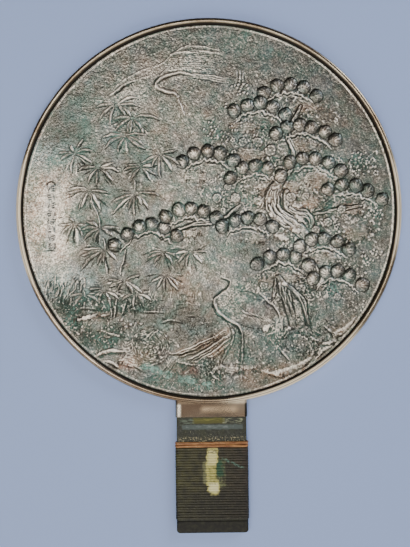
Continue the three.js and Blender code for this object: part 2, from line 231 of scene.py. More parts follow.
def smoothLine(points, count):
    knots = np.array(points, float)
    if len(knots) == 2:
        share = np.linspace(0, 1, count)[:, None]
        return knots[0] * (1 - share) + knots[1] * share
    knots = np.vstack([2 * knots[0] - knots[1], knots, 2 * knots[-1] - knots[-2]])
    at = np.linspace(0, len(points) - 1, count)
    i = np.minimum(at.astype(int), len(points) - 2)
    f = (at - i)[:, None]
    a, b, c, d = knots[i], knots[i + 1], knots[i + 2], knots[i + 3]
    bend = a - 2.5 * b + 2 * c - d / 2
    return b + f * (c - a) / 2 + f ** 2 * bend + f ** 3 * (1.5 * (b - c) + (d - a) / 2)


def smooth(low, high, value):
    share = np.clip((value - low) / (high - low), 0, 1)
    return share * share * (3 - 2 * share)


# a soft spot that falls off with the square of the distance
def spot(dx, dy, spread):
    return np.exp(-(dx ** 2 + dy ** 2) / spread ** 2)


# how near each point is to a line that swells along its way: 1 on it, 0 at its edge; side is below 0 under it
def profile(points, width, ends, count):
    path = smoothLine(points, count + 1)
    share = np.linspace(0, 1, count + 1)
    swell = np.where(share < 0.5, ends[0], ends[1])
    swell = swell + (1 - swell) * np.sin(np.pi * share) ** 0.8
    pad = width / 2 + cell
    whole, wholeX, _ = near(*(path.min(0) - pad), *(path.max(0) + pad))
    layer, side = np.zeros_like(wholeX), np.zeros_like(wholeX)
    for k in range(count):
        a, b = path[k], path[k + 1]
        part, x, y = near(*(np.minimum(a, b) - pad), *(np.maximum(a, b) + pad))
        ab = b - a
        t = np.clip(((x - a[0]) * ab[0] + (y - a[1]) * ab[1]) / (ab @ ab + 1e-9), 0, 1)
        size = (swell[k] + (swell[k + 1] - swell[k]) * t) * width / 2
        offX, offY = x - a[0] - t * ab[0], y - a[1] - t * ab[1]
        close = np.clip(1 - np.hypot(offX, offY) / size, 0, 1) * np.clip(2 * size / width, 0, 1) ** 0.5
        at = tuple(slice(p.start - w.start, p.stop - w.start) for p, w in zip(part, whole))
        side[at] = np.where(close > layer[at], np.sign(offY - 0.4 * offX), side[at])
        layer[at] = np.maximum(close, layer[at])
    return whole, layer, side


# a rounded ridge, or with a height below 0 a groove; shine is how bright or dark it is painted: a ridge worn
# bright with a painted highlight, a groove dark with painted shade
# count is the number of straight steps, and ends says how much of its width each end has
def line(points, width, height, shine=0.8, count=10, ends=(0.3, 0.3), blunt=1.0):
    whole, close, _ = profile(points, width, ends, count)
    form = 1 - (1 - close) ** (2 * blunt)
    relief[whole] += height * form
    tone[whole] += math.copysign(shine, height) * form


# lays a form and its tone over what is there, where cover is 1
def lay(part, cover, form, shade):
    relief[part] = relief[part] * (1 - cover) + form * cover
    tone[part] = tone[part] * (1 - cover) + shade * cover


# a band that hides what lies behind it, edged with a groove painted dark as shade
def bandOver(points, width, height, shine):
    groove = 1.6
    whole, close, _ = profile(points, width + groove, (0.7, 0.6), 20)
    inside = (close * (width + groove) - groove) / width
    cover = smooth(0.0, 0.3 / width, close * (width + groove) / width)
    form = height * smooth(-0.05, 0.35, inside) - 0.3 * smooth(0.1, -0.1, inside)
    lay(whole, cover, form, shine * smooth(0, 0.3, inside) - 0.8 * smooth(0.1, -0.1, inside))


# a figure that hides what is behind it: draw(x, y) gives its height, its tone and its cover from 0 to 1
def figure(x, y, reach, draw, gilding=0.0):
    part, px, py = around(x, y, reach)
    height, shade, cover = draw(px - x, py - y)
    gold[part] = gold[part] * (1 - cover) + gilding * cover
    moss[part] *= 1 - cover
    lay(part, cover, height, shade)


# lets the metal's own colour show along a path
def gild(path, count, amount, spread, reach):
    for x, y in smoothLine(path, count):
        part, px, py = around(x, y, reach)
        gold[part] = np.maximum(gold[part], amount * spot(px - x, py - y, spread))


# a round bead painted bright as a highlight, with painted shade in a ring round its foot
def dot(x, y, radius, height, shine=0.9):
    part, px, py = around(x, y, 1.7 * radius)
    away = np.hypot(px - x, py - y) / radius
    form = np.clip(1 - away ** 2.5, 0, 1)
    relief[part] += height * form
    tone[part] += shine * form - 0.6 * np.exp(-((away - 1.25) / 0.25) ** 2)


# a smooth plateau inside a cut outline, with faint lines along it; a painted highlight lies along its upper
# edge and painted shade along its lower edge
def plate(x, y, rx, ry, turn, height, shine, streak):
    c, s = math.cos(math.radians(turn)), math.sin(math.radians(turn))
    edge = min(rx, ry)

    def draw(dx, dy):
        u, v = c * dx + s * dy, c * dy - s * dx
        ragged = 0.14 * np.sin(u * 1.7 + x) + 0.12 * np.sin(u * 3.1 - v * 1.3 + y) + 0.1 * np.sin(v * 2.3 + x)
        inside = (1 + ragged - np.hypot(u / rx, v / ry)) * edge
        faint = np.cos(2 * np.pi * v / 1.5 + 1.2 * np.sin(u / 1.7 + y)) * (0.6 + 0.4 * np.sin(u * 0.9 + x))
        form = (height + 0.1 * faint) * smooth(-0.2, 0.5, inside) - 0.2 * smooth(0.3, -0.3, inside)
        upper = smooth(-0.4, 0.6, dy / edge)
        shade = (shine + streak * faint) * smooth(0, 0.5, inside)
        return form, shade + (0.9 * upper - 0.6) * smooth(0.4, 0.1, inside), smooth(-0.5, -0.2, inside)
    figure(x, y, max(rx, ry) + 2.2, draw, 0.5)


def curl(x, y, radius, start, sweep, width, height, shine=0.8):
    angles = np.radians(start + np.linspace(0, sweep, 6))
    grow = np.linspace(0.45, 1, 6) * radius
    line([(x + g * math.cos(a), y + g * math.sin(a)) for a, g in zip(angles, grow)], width, height, shine, 9)


def scattered(x, y, rx, ry, count, spacing):
    kept = []
    for _ in range(count * 12):
        u, v = luck.uniform(-1, 1, 2)
        place = np.array([x + rx * u, y + ry * v])
        if u * u + v * v < 1 and all(np.hypot(*(place - other)) > spacing for other in kept):
            kept.append(place)
        if len(kept) == count:
            break
    return kept


# a fine tangle of raised threads, for moss and foliage, with painted highlights on the threads and painted
# shade between them
threads = [np.exp(-(speckle(reach) / 0.3) ** 2) for reach in (0.62, 0.45)]
fading = np.clip(0.7 + 0.35 * speckle(2.5), 0, 1.4)


def tangle(x, y, rx, ry, amount):
    away = np.hypot((sheetX + 2 * handX - x) / rx, (sheetY + 2 * handY - y) / ry)
    share = amount * smooth(1.1, 0.85, away) * fading
    relief[:] += share * (0.28 * threads[0] + 0.14 * threads[1] - 0.1)
    tone[:] += share * (0.85 * threads[0] + 0.35 * threads[1] - 0.42)
    moss[:] = np.maximum(moss, 0.75 * share * (1 - threads[0]))


# soft light and dark over a wide place
def clouding(blobs):
    for x, y, rx, ry, amount in blobs:
        tone[:] += amount * np.exp(-((sheetX - x) / rx) ** 2 - ((sheetY - y) / ry) ** 2)


# ---- ground: moss, stones, water and shore lines
# centre, half sizes, number of dots
mossBeds = [
    (72, -62, 34, 22, 560), (34, -88, 36, 20, 620), (-10, -104, 42, 10, 420), (-76, -76, 22, 14, 300),
    (-70, -60, 26, 8, 220), (-6, -76, 16, 8, 160), (58, -42, 26, 10, 200), (-92, -56, 12, 10, 120),
    (4, -100, 22, 8, 200), (60, -84, 20, 8, 240), (-40, -58, 14, 6, 90),
]
for x, y, rx, ry, count in mossBeds:
    tangle(x, y, rx, ry, 0.8)
    for px, py in scattered(x, y, rx, ry, count // 4, 1.2):
        if luck.random() < 0.45:
            dot(px, py, luck.uniform(0.4, 0.75), luck.uniform(0.15, 0.35), 0.6)
        else:
            turn, radius = luck.uniform(0, 360), luck.uniform(0.7, 1.6)
            curl(px, py, radius, turn, luck.uniform(60, 200), 0.7, 0.3, luck.uniform(0.3, 0.8))
print("moss drawn")

for _ in range(70):      # reeds: upright strokes behind the shore
    x = luck.uniform(-46, -4)
    y = luck.uniform(-66, -52)
    line([(x, y), (x + luck.uniform(-0.4, 0.4), y + luck.uniform(2.5, 5))], 0.8, 0.25, 0.5, 3)
for _ in range(34):      # the water's level lines
    x, y = luck.uniform(-48, -6), luck.uniform(-72, -48)
    reach = luck.uniform(3, 8)
    line([(x, y), (x + reach / 2, y + 0.3), (x + reach, y)], 0.8, luck.choice((-0.2, 0.2)), 0.4, 5)
tangle(-88, -62, 22, 12, 0.5)
tangle(-62, -72, 26, 12, 0.4)
for _ in range(150):      # fine grass on the dark bank
    x, y = luck.uniform(-92, -46), luck.uniform(-92, -70)
    tip = (x + luck.uniform(-3, 4), y + luck.uniform(1.5, 4))
    line([(x, y), ((x + tip[0]) / 2 - 0.4, (y + tip[1]) / 2), tip], 0.8, 0.25, luck.uniform(0.1, 0.9), 4)
for x, y in scattered(-62, -76, 22, 9, 40, 1.6):      # pebbles
    dot(x, y, luck.uniform(0.5, 0.9), 0.3, luck.uniform(0.8, 1.5))
for _ in range(60):      # grass at the left rim, each blade with a groove painted dark beside it as its shadow
    x, y = luck.uniform(-104, -78), luck.uniform(-62, -48)
    tip = (x + luck.uniform(-1, 5), y + luck.uniform(5, 9))
    line([(x + 0.8, y), (x + 1.4, y + 4), (tip[0] + 0.8, tip[1])], 0.8, -0.2, 0.6, 5)
    line([(x, y), (x + 0.6, y + 4), tip], 0.8, 0.3, 0.6, 5)
for px, py in scattered(66, -82, 24, 15, 80, 2.0):      # dark hollows between the moss
    curl(px, py, luck.uniform(1.0, 2.2), luck.uniform(0, 360), luck.uniform(80, 220), 0.9, -0.3, 1.2)

# banks: path, width, height, shine
banks = [
    ([(-25, -89.5), (-18, -89.4), (-14, -88.2), (-11.3, -86.4)], 1.3, 0.4, 1.0),
    ([(-21, -94.6), (-14, -95.8), (-5, -97)], 1.1, 0.3, 0.8),
    ([(-43.5, -63.3), (-35, -63.2), (-27, -64.4)], 1.1, 0.35, 1.0),
    ([(-30.7, -70.3), (-23, -68.6), (-15.7, -70.6)], 1.1, 0.3, 0.7),
    ([(-86, -63), (-78, -61), (-70, -62)], 1.6, 0.3, 0.4),
    ([(9.5, -96.3), (19, -96.0), (29.3, -96.5)], 0.8, 0.2, 0.5),
    ([(43.6, -84.8), (45.5, -88.2), (48, -90.6), (51, -94.5)], 1.5, 0.5, 1.0),
    ([(63, -77), (65, -80.4), (69.5, -82)], 1.5, 0.5, 1.0),
    ([(65, -80.4), (64.2, -82.5)], 1.2, 0.5, 1.0),
    ([(37, -77.8), (42, -76.2)], 1.2, 0.4, 0.9),
    ([(47, -77.4), (50, -74), (54, -73.4), (58.5, -72.6)], 2.0, 0.4, 0.9),
    ([(72, -72), (77, -76), (78.5, -80)], 1.3, 0.4, 0.7),
    ([(66.8, -75), (71, -77.5)], 1.2, 0.4, 0.7),
    ([(-52, -97.5), (-47, -97.6), (-42, -100.3)], 1.3, 0.4, 0.9),
    ([(-24, -93), (-26, -97), (-30, -101)], 1.0, 0.3, 0.6),
    ([(-21, -92), (-22.5, -97), (-27, -103)], 1.0, 0.3, 0.6),
]
# under each bank lies a groove painted dark as its shadow
for path, width, height, shine in banks:
    line(moved(path, 0, -1.1), width, -0.25, 0.8, 14)
    line(path, width, height, shine, 14)
# smooth stones: centre, half sizes, turn, height, shine
stones = [
    (-49, -94.6, 9, 3.4, -8, 0.4, 0.2), (-77, -67.2, 7.4, 1.5, 16, 0.7, 0.9),
    (-66.5, -65.2, 3, 0.8, 8, 0.4, 0.8), (-66, -75.4, 3.4, 0.8, -6, 0.4, 0.7),
    (-60, -77.6, 5, 1.2, -14, 0.6, 0.9), (-64, -79.4, 2.2, 0.8, 0, 0.5, 0.8),
    (-52, -72.8, 1.8, 0.8, -20, 0.6, 0.9), (-49.6, -71.4, 1.5, 0.8, -20, 0.6, 0.9),
    (-43, -71, 1.6, 0.8, -10, 0.6, 0.9), (-55, -68.5, 1.4, 0.8, 30, 0.5, 0.8),
    (14.5, -100, 4.2, 2.8, 4, 0.4, 0.25), (25, -98.8, 4.6, 1.7, 0, 0.4, 0.3),
    (41, -102.4, 6.5, 1.8, -20, 0.4, 0.5), (75, -83.2, 4.6, 1.3, 12, 0.5, 0.8),
    (-23.5, -74.6, 1.2, 0.9, 0, 0.5, 0.9), (36, -73.5, 2, 3.4, -8, 0.6, 0.8),
]
for stone in stones:
    plate(*stone, 0.4)
# smooth banks that taper: path, width, height, shine
taperingBanks = [
    ([(-72, -91.4), (-64, -88.2), (-53, -88.4)], 3.6, 0.7, 1.1),
    ([(-67, -94), (-61.5, -96), (-57, -98)], 3.0, 0.5, 0.9),
    ([(38, -101.6), (46, -101.8), (56, -98.6), (64, -93)], 6.0, 0.5, 1.1),
    ([(92, -67.5), (86, -74.5), (80, -77.5), (78.5, -83.5)], 5.0, 0.5, 1.1),
    ([(78, -84.5), (73, -87.5), (67, -93.5)], 2.6, 0.4, 0.9),
]
# under each bank lies a groove painted dark as its shadow
for path, width, height, shine in taperingBanks:
    line(moved(path, 0, -1.6), width, -0.3, 0.8, 20)
    line(path, width, height, shine, 20, ends=(0.2, 0.3), blunt=1.5)
    gild(path, 12, 0.8, 0.4 * width, width)
# the great slab by the shore: worn streaks that run together toward its upper end
slab = {
    "upper": [(11.4, -74.8), (14.6, -82.0)], "lower": [(-24.4, -89.4), (-9.5, -94.6), (2.0, -92.0)],
    "streaks": 10, "glows": (1.5, 0.5, 0.2, 1.4, 0.4), "sag": 1.6,
}
upper, lower = smoothLine(slab["upper"], slab["streaks"]), smoothLine(slab["lower"], slab["streaks"])
for k in range(slab["streaks"]):
    start, end = upper[k] + luck.normal(0, 0.3, 2), lower[k] + luck.normal(0, 0.6, 2)
    path = [start + (end - start) * t + (0, -slab["sag"] * math.sin(math.pi * t) + luck.normal(0, 0.2))
            for t in (0, 0.3, 0.6, 0.85, 1)]
    glow = slab["glows"][k % len(slab["glows"])]
    # below and left of each streak lies a groove painted dark as its shadow
    line(moved(path, -0.6, -1.0), 1.0, -0.35, 1.0, 20, ends=(0.3, 0.2))
    line(path, 1.1 + 0.3 * glow, 0.3 + 0.15 * glow, glow, 20, ends=(0.4, 0.1))
    gild(path, 20, 0.5 + 0.4 * glow, math.sqrt(1.5), 2)
print("ground drawn")


# ---- pine
pine = {
    "tuft": 4.3, "tuftHeight": 1.0, "needle": 0.08, "needlePitch": 23.0,
    "twigDrop": 7.6, "twigWidth": 1.15, "twigHeight": 0.5,
    "bark": 0.35, "steps": 16,
    "shaded": -30,        # the stem lies darker below this, mm
}
# smooth clouds of bark and foliage: centre, half sizes, turn
clouds = [
    (27, 35.5, 8.8, 4.6, -8), (-8.5, 22, 6.8, 4.2, -4), (68, 19.5, 8.4, 5.4, -4), (62, 66.5, 7.5, 5.0, -20),
    (60, 41.5, 11, 3.4, -8), (52, 15, 5.4, 3.6, -10), (93, -14, 7, 5.0, 12), (64, 5.5, 5.0, 4.4, 0),
    (33, 15.6, 5.0, 2.3, 6), (22, 53, 9, 3.6, 0), (-14, -14, 9, 3.0, 0), (73, -30, 7, 4, -10),
    (28, -17, 9, 3.2, -4), (48, -42, 8, 3.4, -4), (88, 1.5, 8, 3, -10), (37, -45, 5, 3.4, 0),
]
# the thicket between the boughs: centre, half sizes, number of small forms
thickets = [
    (50, 62, 34, 15, 110), (36, 42, 38, 12, 150), (62, 24, 34, 13, 150), (20, 12, 26, 13, 170),
    (70, 4, 38, 13, 220), (88, -8, 22, 14, 110), (60, -18, 34, 10, 130), (46, -50, 34, 10, 170),
    (80, -36, 24, 8, 80), (98, 30, 10, 9, 30),
]
for x, y, rx, ry, count in thickets:
    tangle(x, y, rx, ry, 0.9)
    for px, py in scattered(x, y, rx, ry, count // 2, 2.2):
        kind = luck.random()
        size = luck.uniform(0.9, 1.8)
        turn = luck.uniform(0, 360)
        glow = luck.uniform(0.4, 1.5)
        if kind < 0.45:
            curl(px, py, size, turn, luck.uniform(160, 320), 0.9, luck.uniform(0.3, 0.5), glow)
        elif kind < 0.7:
            c, s = math.cos(math.radians(turn)), math.sin(math.radians(turn))
            line([(px, py), (px + 2.2 * size * c, py + 2.2 * size * s)], 1.2, 0.35, glow, 4, ends=(0.5, 0.1))
        elif kind < 0.85:
            for k in range(5):
                a = 2 * math.pi * k / 5 + turn
                dot(px + 1.1 * math.cos(a), py + 1.1 * math.sin(a), 0.7, 0.3, glow)
        else:
            dot(px, py, 0.5 + 0.3 * size, 0.4, glow)
for cloud in clouds:
    plate(*cloud, 0.3, 0.1, 0.12)
for reach in (9.6, 8.4):     # the double arc over the large cloud
    arc = [(reach * math.cos(a), 0.9 * reach * math.sin(a)) for a in np.radians(np.linspace(150, 10, 7))]
    line(moved(arc, 68.5, 17), 1.0, 0.4, 0.9, 14)
print("thicket drawn")

# limbs: path, width, height, number of bark lines
limbs = [
    ([(20, 4), (6, -6), (-12, -9), (-30, -17)], 2.2, 0.3, 1),
    ([(48, 20), (54, 34), (50, 48), (58, 66)], 3.0, 0.3, 2),
    ([(66, -2), (80, 1), (96, 3)], 2.4, 0.3, 2),
    ([(49, 12), (49, 4), (54, -0.5), (61, -2), (64.5, -6), (64.5, -10)], 4.8, 0.4, 3),
    ([(44, 18), (40.5, 11), (40.5, 3), (46, -4), (55, -10), (64, -19)], 9.4, 0.45, 6),
    ([(44, -42), (47, -48), (50, -58), (53, -72)], 5.6, 0.2, 3),
    ([(49, -46), (56, -52.5), (60, -58), (61, -65), (63, -71.5)], 3.0, 0.5, 1),
    ([(42, -43), (41.5, -50), (40.8, -55)], 2.2, 0.4, 1),
    ([(64, -30), (68, -38), (67, -49)], 2.4, 0.3, 1),
]
steps = pine["steps"]
for path, width, height, grooves in limbs:
    lit = path[0][1] > pine["shaded"]
    bandOver(path, width, height, 0.15 if lit else -0.2)
    spine = smoothLine(path, steps)
    along = np.gradient(spine, axis=0)
    side = np.stack([-along[:, 1], along[:, 0]], 1) / (np.linalg.norm(along, axis=1)[:, None] + 1e-9)
    for k in range(grooves + 1):
        offset = (k / grooves - 0.5) * 0.84 * width if grooves > 1 else (k - 0.5) * 0.6 * width
        ridge = slice(luck.integers(0, 4), steps - luck.integers(0, 4), 2)
        taper = 0.75 + 0.25 * np.sin(np.linspace(0, np.pi, steps))
        wander = 0.5 * np.sin(np.arange(steps) * (0.7 + 0.25 * (k % 3)) + k)
        bark = spine + side * (offset * taper + wander)[:, None]
        line(bark[ridge], luck.uniform(0.9, 1.2), pine["bark"],
             luck.uniform(0.8, 1.6) if lit else luck.uniform(0.3, 1.0), 20, ends=(0.2, 0.2))
        # beside each bark ridge runs a groove painted dark as its shadow
        line((bark + side * 0.9)[ridge], 0.9, -0.35, 1.4 if lit else 0.6, 20, ends=(0.2, 0.2))
for k in range(20):      # bark strokes across the lower stem
    y = -50 - 1.05 * k
    x = 50 + 0.17 * k + luck.uniform(-0.6, 0.6)
    line([(x, y), (x + 3, y - 0.6), (x + 6.5, y + 0.4)], 0.8, 0.2, 0.5, 5)
# worn bosses of bark: centre, half sizes, turn
bosses = [
    (57.5, -5.4, 3.6, 1.7, -38), (55.5, 3.4, 3.8, 1.5, -6), (39.2, -2.2, 2.2, 1.2, -50),
    (45.5, -6.4, 3.2, 1.1, -36), (54.5, -12.2, 3.0, 1.8, -10), (42.5, 15, 2.6, 1.4, 20),
    (38, 7, 1.2, 2.6, -10), (47.3, -45.5, 2.2, 1.4, -20), (41.2, -53, 1.0, 1.6, 0),
    (45.5, -16.5, 3.6, 2.4, -20),
]
for x, y, rx, ry, turn in bosses:
    plate(x, y, 1.15 * rx, 0.9 * ry, turn, 0.6, 1.0, 0.1)
for reach, sweep in ((5.2, 300), (3.4, 260)):      # the great knot left of the stem
    curl(30.2, 5.4, reach, 200, -sweep, 1.3, 0.4, 0.7)
plate(31.4, 4.8, 2.2, 1.3, 10, 0.6, 0.9, 0.35)
print("trunk drawn")

# blossoms: centre and radius
blossoms = [
    (21.8, 43.3, 3.3), (30.6, 43.4, 3.5), (38.6, 38.2, 4.0), (5.2, 7.8, 3.3), (17, 8.2, 3.3),
    (51.8, 8.8, 3.4), (75, -7, 3.2), (67.2, -12, 3.0), (83.5, 1, 3.0), (61, 9.5, 2.6), (12, 15, 2.4),
    (44, 26, 2.6), (86, -4, 2.6), (81, -54, 2.6), (34.5, -47, 2.8),
]
for x, y, r in blossoms:
    # a ring of round petals about a bead; the raised rings and bead carry painted highlights and the petals
    # are darker
    def blossom(dx, dy):
        away = np.hypot(dx, dy) / r
        turn = np.arctan2(dy, dx) + x
        petal = 0.84 + 0.16 * np.abs(np.cos(2.5 * turn))
        beads = 0.5 + 0.5 * np.cos(7 * turn)
        ring = np.exp(-((away - 0.68) / 0.16) ** 2) * (0.5 + 0.5 * beads)
        ring = ring + np.exp(-(away / 0.2) ** 2) + 0.6 * np.exp(-((away - 0.38) / 0.08) ** 2)
        out = smooth(petal - 0.06, petal + 0.1, away)
        return 0.15 + 0.45 * ring - 0.4 * out, 1.4 * ring - 0.55 - 0.3 * out, smooth(1.15, 1.0, away / petal)
    figure(x, y, 1.4 * r, blossom)

# berries: centre, half sizes, number
berries = [
    (20, 76.5, 6, 4.5, 14), (2.5, 52, 6, 7, 16), (16.5, 55, 4, 5, 10), (59, 60.5, 6, 3.5, 9),
    (95, 30, 8, 8, 34), (105, -3.5, 6, 5, 15), (102, -28, 8, 4, 15), (14, 66, 4, 3, 6),
    (58, 50, 5, 3, 6), (99, 12, 6, 5, 10), (28, 30, 6, 3, 6), (9, 46, 5, 4, 8),
]
for bunch in berries:
    for px, py in scattered(*bunch, 1.6):
        dot(px, py, luck.uniform(0.7, 0.95), 0.6, luck.uniform(0.8, 1.5))


# one tuft: a low round dome in a cut outline, with needles fanned from its root; painted shade lies on its
# upper edge and round its outline, and painted highlights in its middle and along its lower edge
def tuft(x, y, heading):
    size = pine["tuft"]
    high = pine["tuftHeight"]
    ball = (size ** 2 + high ** 2) / (2 * high)
    pitch = math.radians(pine["needlePitch"])
    gildingAndHighlight = luck.uniform(0.25, 1.0)

    def draw(dx, dy):
        away = np.hypot(dx, dy)
        r = away / size
        dome = np.sqrt(np.clip(ball ** 2 - away ** 2, 0, None)) - (ball - high)
        fromX, fromY = dx + 0.75 * size * math.cos(heading), dy + 0.75 * size * math.sin(heading)
        turn = np.arctan2(fromY, fromX) - heading
        reach = np.hypot(fromX, fromY) / size
        needles = np.cos(2 * np.pi * turn / pitch) * smooth(0.85, 0.55, r) * smooth(0.15, 0.7, reach)
        form = 0.1 + dome + pine["needle"] * needles - 0.35 * smooth(0.93, 1.03, r)
        middle = spot(dx, dy + 0.08 * size, 0.34 * size)
        crescent = smooth(0.6, 0.9, r) * smooth(-0.2, 0.7, dy / size)
        shade = -0.04 - 0.16 * smooth(0.3, 0.8, r) - 0.45 * crescent + gildingAndHighlight * middle + 0.34 * needles
        shade = shade - 0.2 * middle * (needles < 0) - 0.75 * np.exp(-((r - 0.99) / 0.06) ** 2)
        return form, shade + 0.25 * np.exp(-((r - 0.86) / 0.05) ** 2) * (dy < 0), smooth(1.1, 1.02, r)
    figure(x, y, 1.2 * size, draw, 0.08)
    part, px, py = around(x, y, size)
    gold[part] += 1.3 * gildingAndHighlight * spot(px - x, py - y, 0.4 * size)


# pads of needles: middle of the arch, span, rise, tilt, number of tufts
pads = [
    (51.4, 73.5, 33.2, 6.9, -2.4, 5), (32.2, 62.2, 32.1, 5.9, -1.9, 5), (60.9, 46.7, 38.8, 7.0, -5.5, 6),
    (67.0, 28.0, 32.0, 5.2, -5.1, 5), (29.3, 21.8, 32.2, 6.8, 1.6, 5), (-0.9, 31.6, 32.1, 6.4, 0.8, 5),
    (92.1, 10.5, 34.0, 5.9, -6.8, 5), (-39.7, -18.5, 38.4, 9.5, 6.3, 6), (-11.2, -3.9, 32.1, 5.5, -0.8, 5),
    (24.6, -9.7, 31.6, 5.7, -0.3, 5), (46.7, -33.9, 31.6, 6.7, -0.8, 5), (72.8, -22.9, 31.6, 6.0, -2.3, 5),
    (81.3, -44.4, 31.3, 6.6, -3.7, 5),
]
for x, y, span, rise, tilt, count in pads:
    def arch(t):
        return np.array([x + span * t, y + rise * (1 - 4 * t * t) + tilt * t])

    def under(t, drop):
        return arch(t) - (0, drop - 0.3 * rise * (1 - 4 * t * t))
    for k in range(2 * count):      # shoots between the twig and the tufts
        t = 0.9 * (k / (2 * count - 1) - 0.5)
        line([under(0.85 * t, pine["twigDrop"]), arch(t) - (0, 3)], 0.9, 0.3, 0.5, 4)
    notched = [under(0.84 * t, pine["twigDrop"] + luck.normal(0, 0.55)) for t in np.linspace(-0.5, 0.5, 24)]
    # under the twig lies a groove painted dark as its shadow
    line(moved(notched, 0, -1.0), 1.5, -0.25, 0.7, 60)
    line(notched, pine["twigWidth"], pine["twigHeight"], 1.6, 60, ends=(0.4, 0.4), blunt=1.6)
    line(moved(notched[2:-2:2], 0, -2.2), 0.9, 0.25, 0.6, 20, ends=(0.2, 0.2))
    for k in sorted(range(count), key=lambda i: -abs(i - (count - 1) / 2)):
        t = k / (count - 1) - 0.5
        tuft(*(arch(t) + luck.normal(0, 0.25, 2)), math.radians(90 - 150 * t))
print("pine drawn")


# ---- bamboo
bamboo = {"width": 1.75, "height": 0.5}
culms = [
    [(-75, 12), (-71.5, 1), (-69, -5), (-68.4, -10)], [(-66, -17), (-65, -24)], [(-65.5, -30), (-64, -40)],
    [(-52.3, -24.5), (-54, -31), (-56, -40)], [(-57, -49), (-58.5, -57), (-59.3, -67)],
    [(-51.5, -55), (-53, -60), (-55, -65.5)], [(-83, 40), (-79.5, 45.5)], [(-46.3, 19), (-46.6, 13.5)],
    [(-67, -57), (-64, -62.5)], [(-61.5, -60), (-61, -67)],
]
for path in culms:
    # below and right of each stem lies a groove painted dark as its shadow
    line(moved(path, 0.8, -0.3), 1.4, -0.25, 0.6, 16, ends=(0.7, 0.7))
    line(path, 1.3, 0.4, 0.9, 16, ends=(0.7, 0.7))


# one leaf: a blade with a rib, with a painted highlight along its upper side, and on its lower side a groove
# with painted shade that cuts it off from the ground
def leaf(x, y, first, last, length, width):
    path = [(x, y)]
    for share in (0.1, 0.35, 0.7, 1.0):
        turn = math.radians(first + (last - first) * share)
        path.append((path[-1][0] + length / 4 * math.cos(turn), path[-1][1] + length / 4 * math.sin(turn)))
    broad, groove = bamboo["width"] * width, 1.3
    whole, close, side = profile(path, broad + groove, (0.35, 0.05), 12)
    inside = (close * (broad + groove) - groove) / broad
    cover = smooth(0.0, 0.15, close)
    blade = smooth(-0.05, 0.25, inside)
    rib = np.exp(-((inside - 1) / 0.22) ** 2)
    rim = np.exp(-((inside - 0.22) / 0.2) ** 2)
    lit = np.where(side > 0, 1.5 * rim + 0.4, 0.4 * rim) - 0.3 * rib + 0.8 * (luck.random() < 0.3)
    gold[whole] = gold[whole] * (1 - cover) + 0.25 * cover * blade
    moss[whole] *= 1 - cover * blade
    lay(whole, cover, bamboo["height"] * blade * (0.6 + 0.4 * inside) - 0.25 * (1 - blade),
        lit * blade - (0.1 + 0.55 * (side < 0)) * (1 - blade))


# sprays: centre, then each leaf's first and last heading and length
sprays = [
    (-58.5, 66.8, (160, 172, 8), (172, 205, 12), (205, 238, 13), (240, 272, 13),
     (40, -8, 15), (10, -14, 13), (-20, -60, 12), (-42, -52, 8)),
    (-48, 58.6, (170, 200, 11), (200, 234, 13), (240, 266, 9), (258, 268, 8),
     (18, -26, 17), (-42, -75, 13), (-46, -54, 8)),
    (-53, 47.6, (166, 208, 14), (190, 240, 15), (236, 268, 11),
     (16, -20, 14), (-14, -46, 14), (-38, -34, 14)),
    (-84.5, 36.4, (170, 200, 10), (190, 236, 10), (250, 272, 13),
     (24, -14, 12), (-18, -46, 13), (120, 110, 5)),
    (-69.6, 27.6, (172, 212, 13), (222, 254, 12), (262, 272, 11),
     (24, 8, 10), (4, -30, 13), (-36, -62, 13)),
    (-42.6, 27.8, (165, 176, 8), (178, 206, 12), (222, 250, 11),
     (20, 0, 10), (-20, -40, 11), (-46, -66, 10)),
    (-30.4, 36.0, (198, 216, 13), (220, 252, 9), (262, 276, 15),
     (16, 4, 10), (-20, -42, 14), (-50, -60, 12)),
    (-75.6, 12.8, (160, 190, 12), (180, 192, 14), (233, 256, 14),
     (240, 250, 11), (0, -20, 13), (-48, -70, 14)),
    (-46.5, 10.8, (190, 208, 15), (212, 234, 19), (240, 256, 10), (262, 276, 15),
     (15, -28, 16), (-38, -60, 12), (-52, -66, 8)),
    (-84.4, -8.0, (180, 192, 10), (205, 235, 11), (228, 262, 10),
     (130, 122, 5), (0, -40, 8), (-50, -72, 10)),
    (-68.6, -10.4, (176, 202, 12), (204, 236, 12), (240, 262, 10),
     (4, -12, 12), (-24, -50, 10), (150, 168, 9)),
    (-65.6, -24.2, (172, 190, 14), (188, 206, 15), (206, 238, 20),
     (236, 256, 10), (-30, -60, 9), (262, 276, 9)),
    (-28.6, -25.6, (180, 200, 8), (222, 246, 9), (-48, -66, 10), (-10, -40, 11), (196, 215, 10)),
    (-11.6, -25.9, (175, 205, 9), (205, 238, 10), (245, 266, 9), (15, -20, 10), (-34, -60, 10)),
    (-27.4, -40.6, (262, 272, 10), (-44, -56, 12), (-26, -70, 13), (200, 212, 10), (228, 250, 9)),
    (-53.4, -43.6, (178, 186, 9), (232, 248, 7), (-28, -46, 14),
     (22, 8, 10), (-50, -66, 10), (200, 215, 10)),
    (-66, -50.0, (168, 182, 9), (185, 226, 13), (212, 242, 12),
     (240, 262, 9), (-18, -46, 10), (-58, -76, 11)),
    (-46, -52.0, (-10, -40, 10), (190, 230, 9), (250, 268, 8), (-50, -70, 9)),
    (-78, -52.0, (180, 215, 10), (215, 245, 9), (-20, -50, 9)),
]
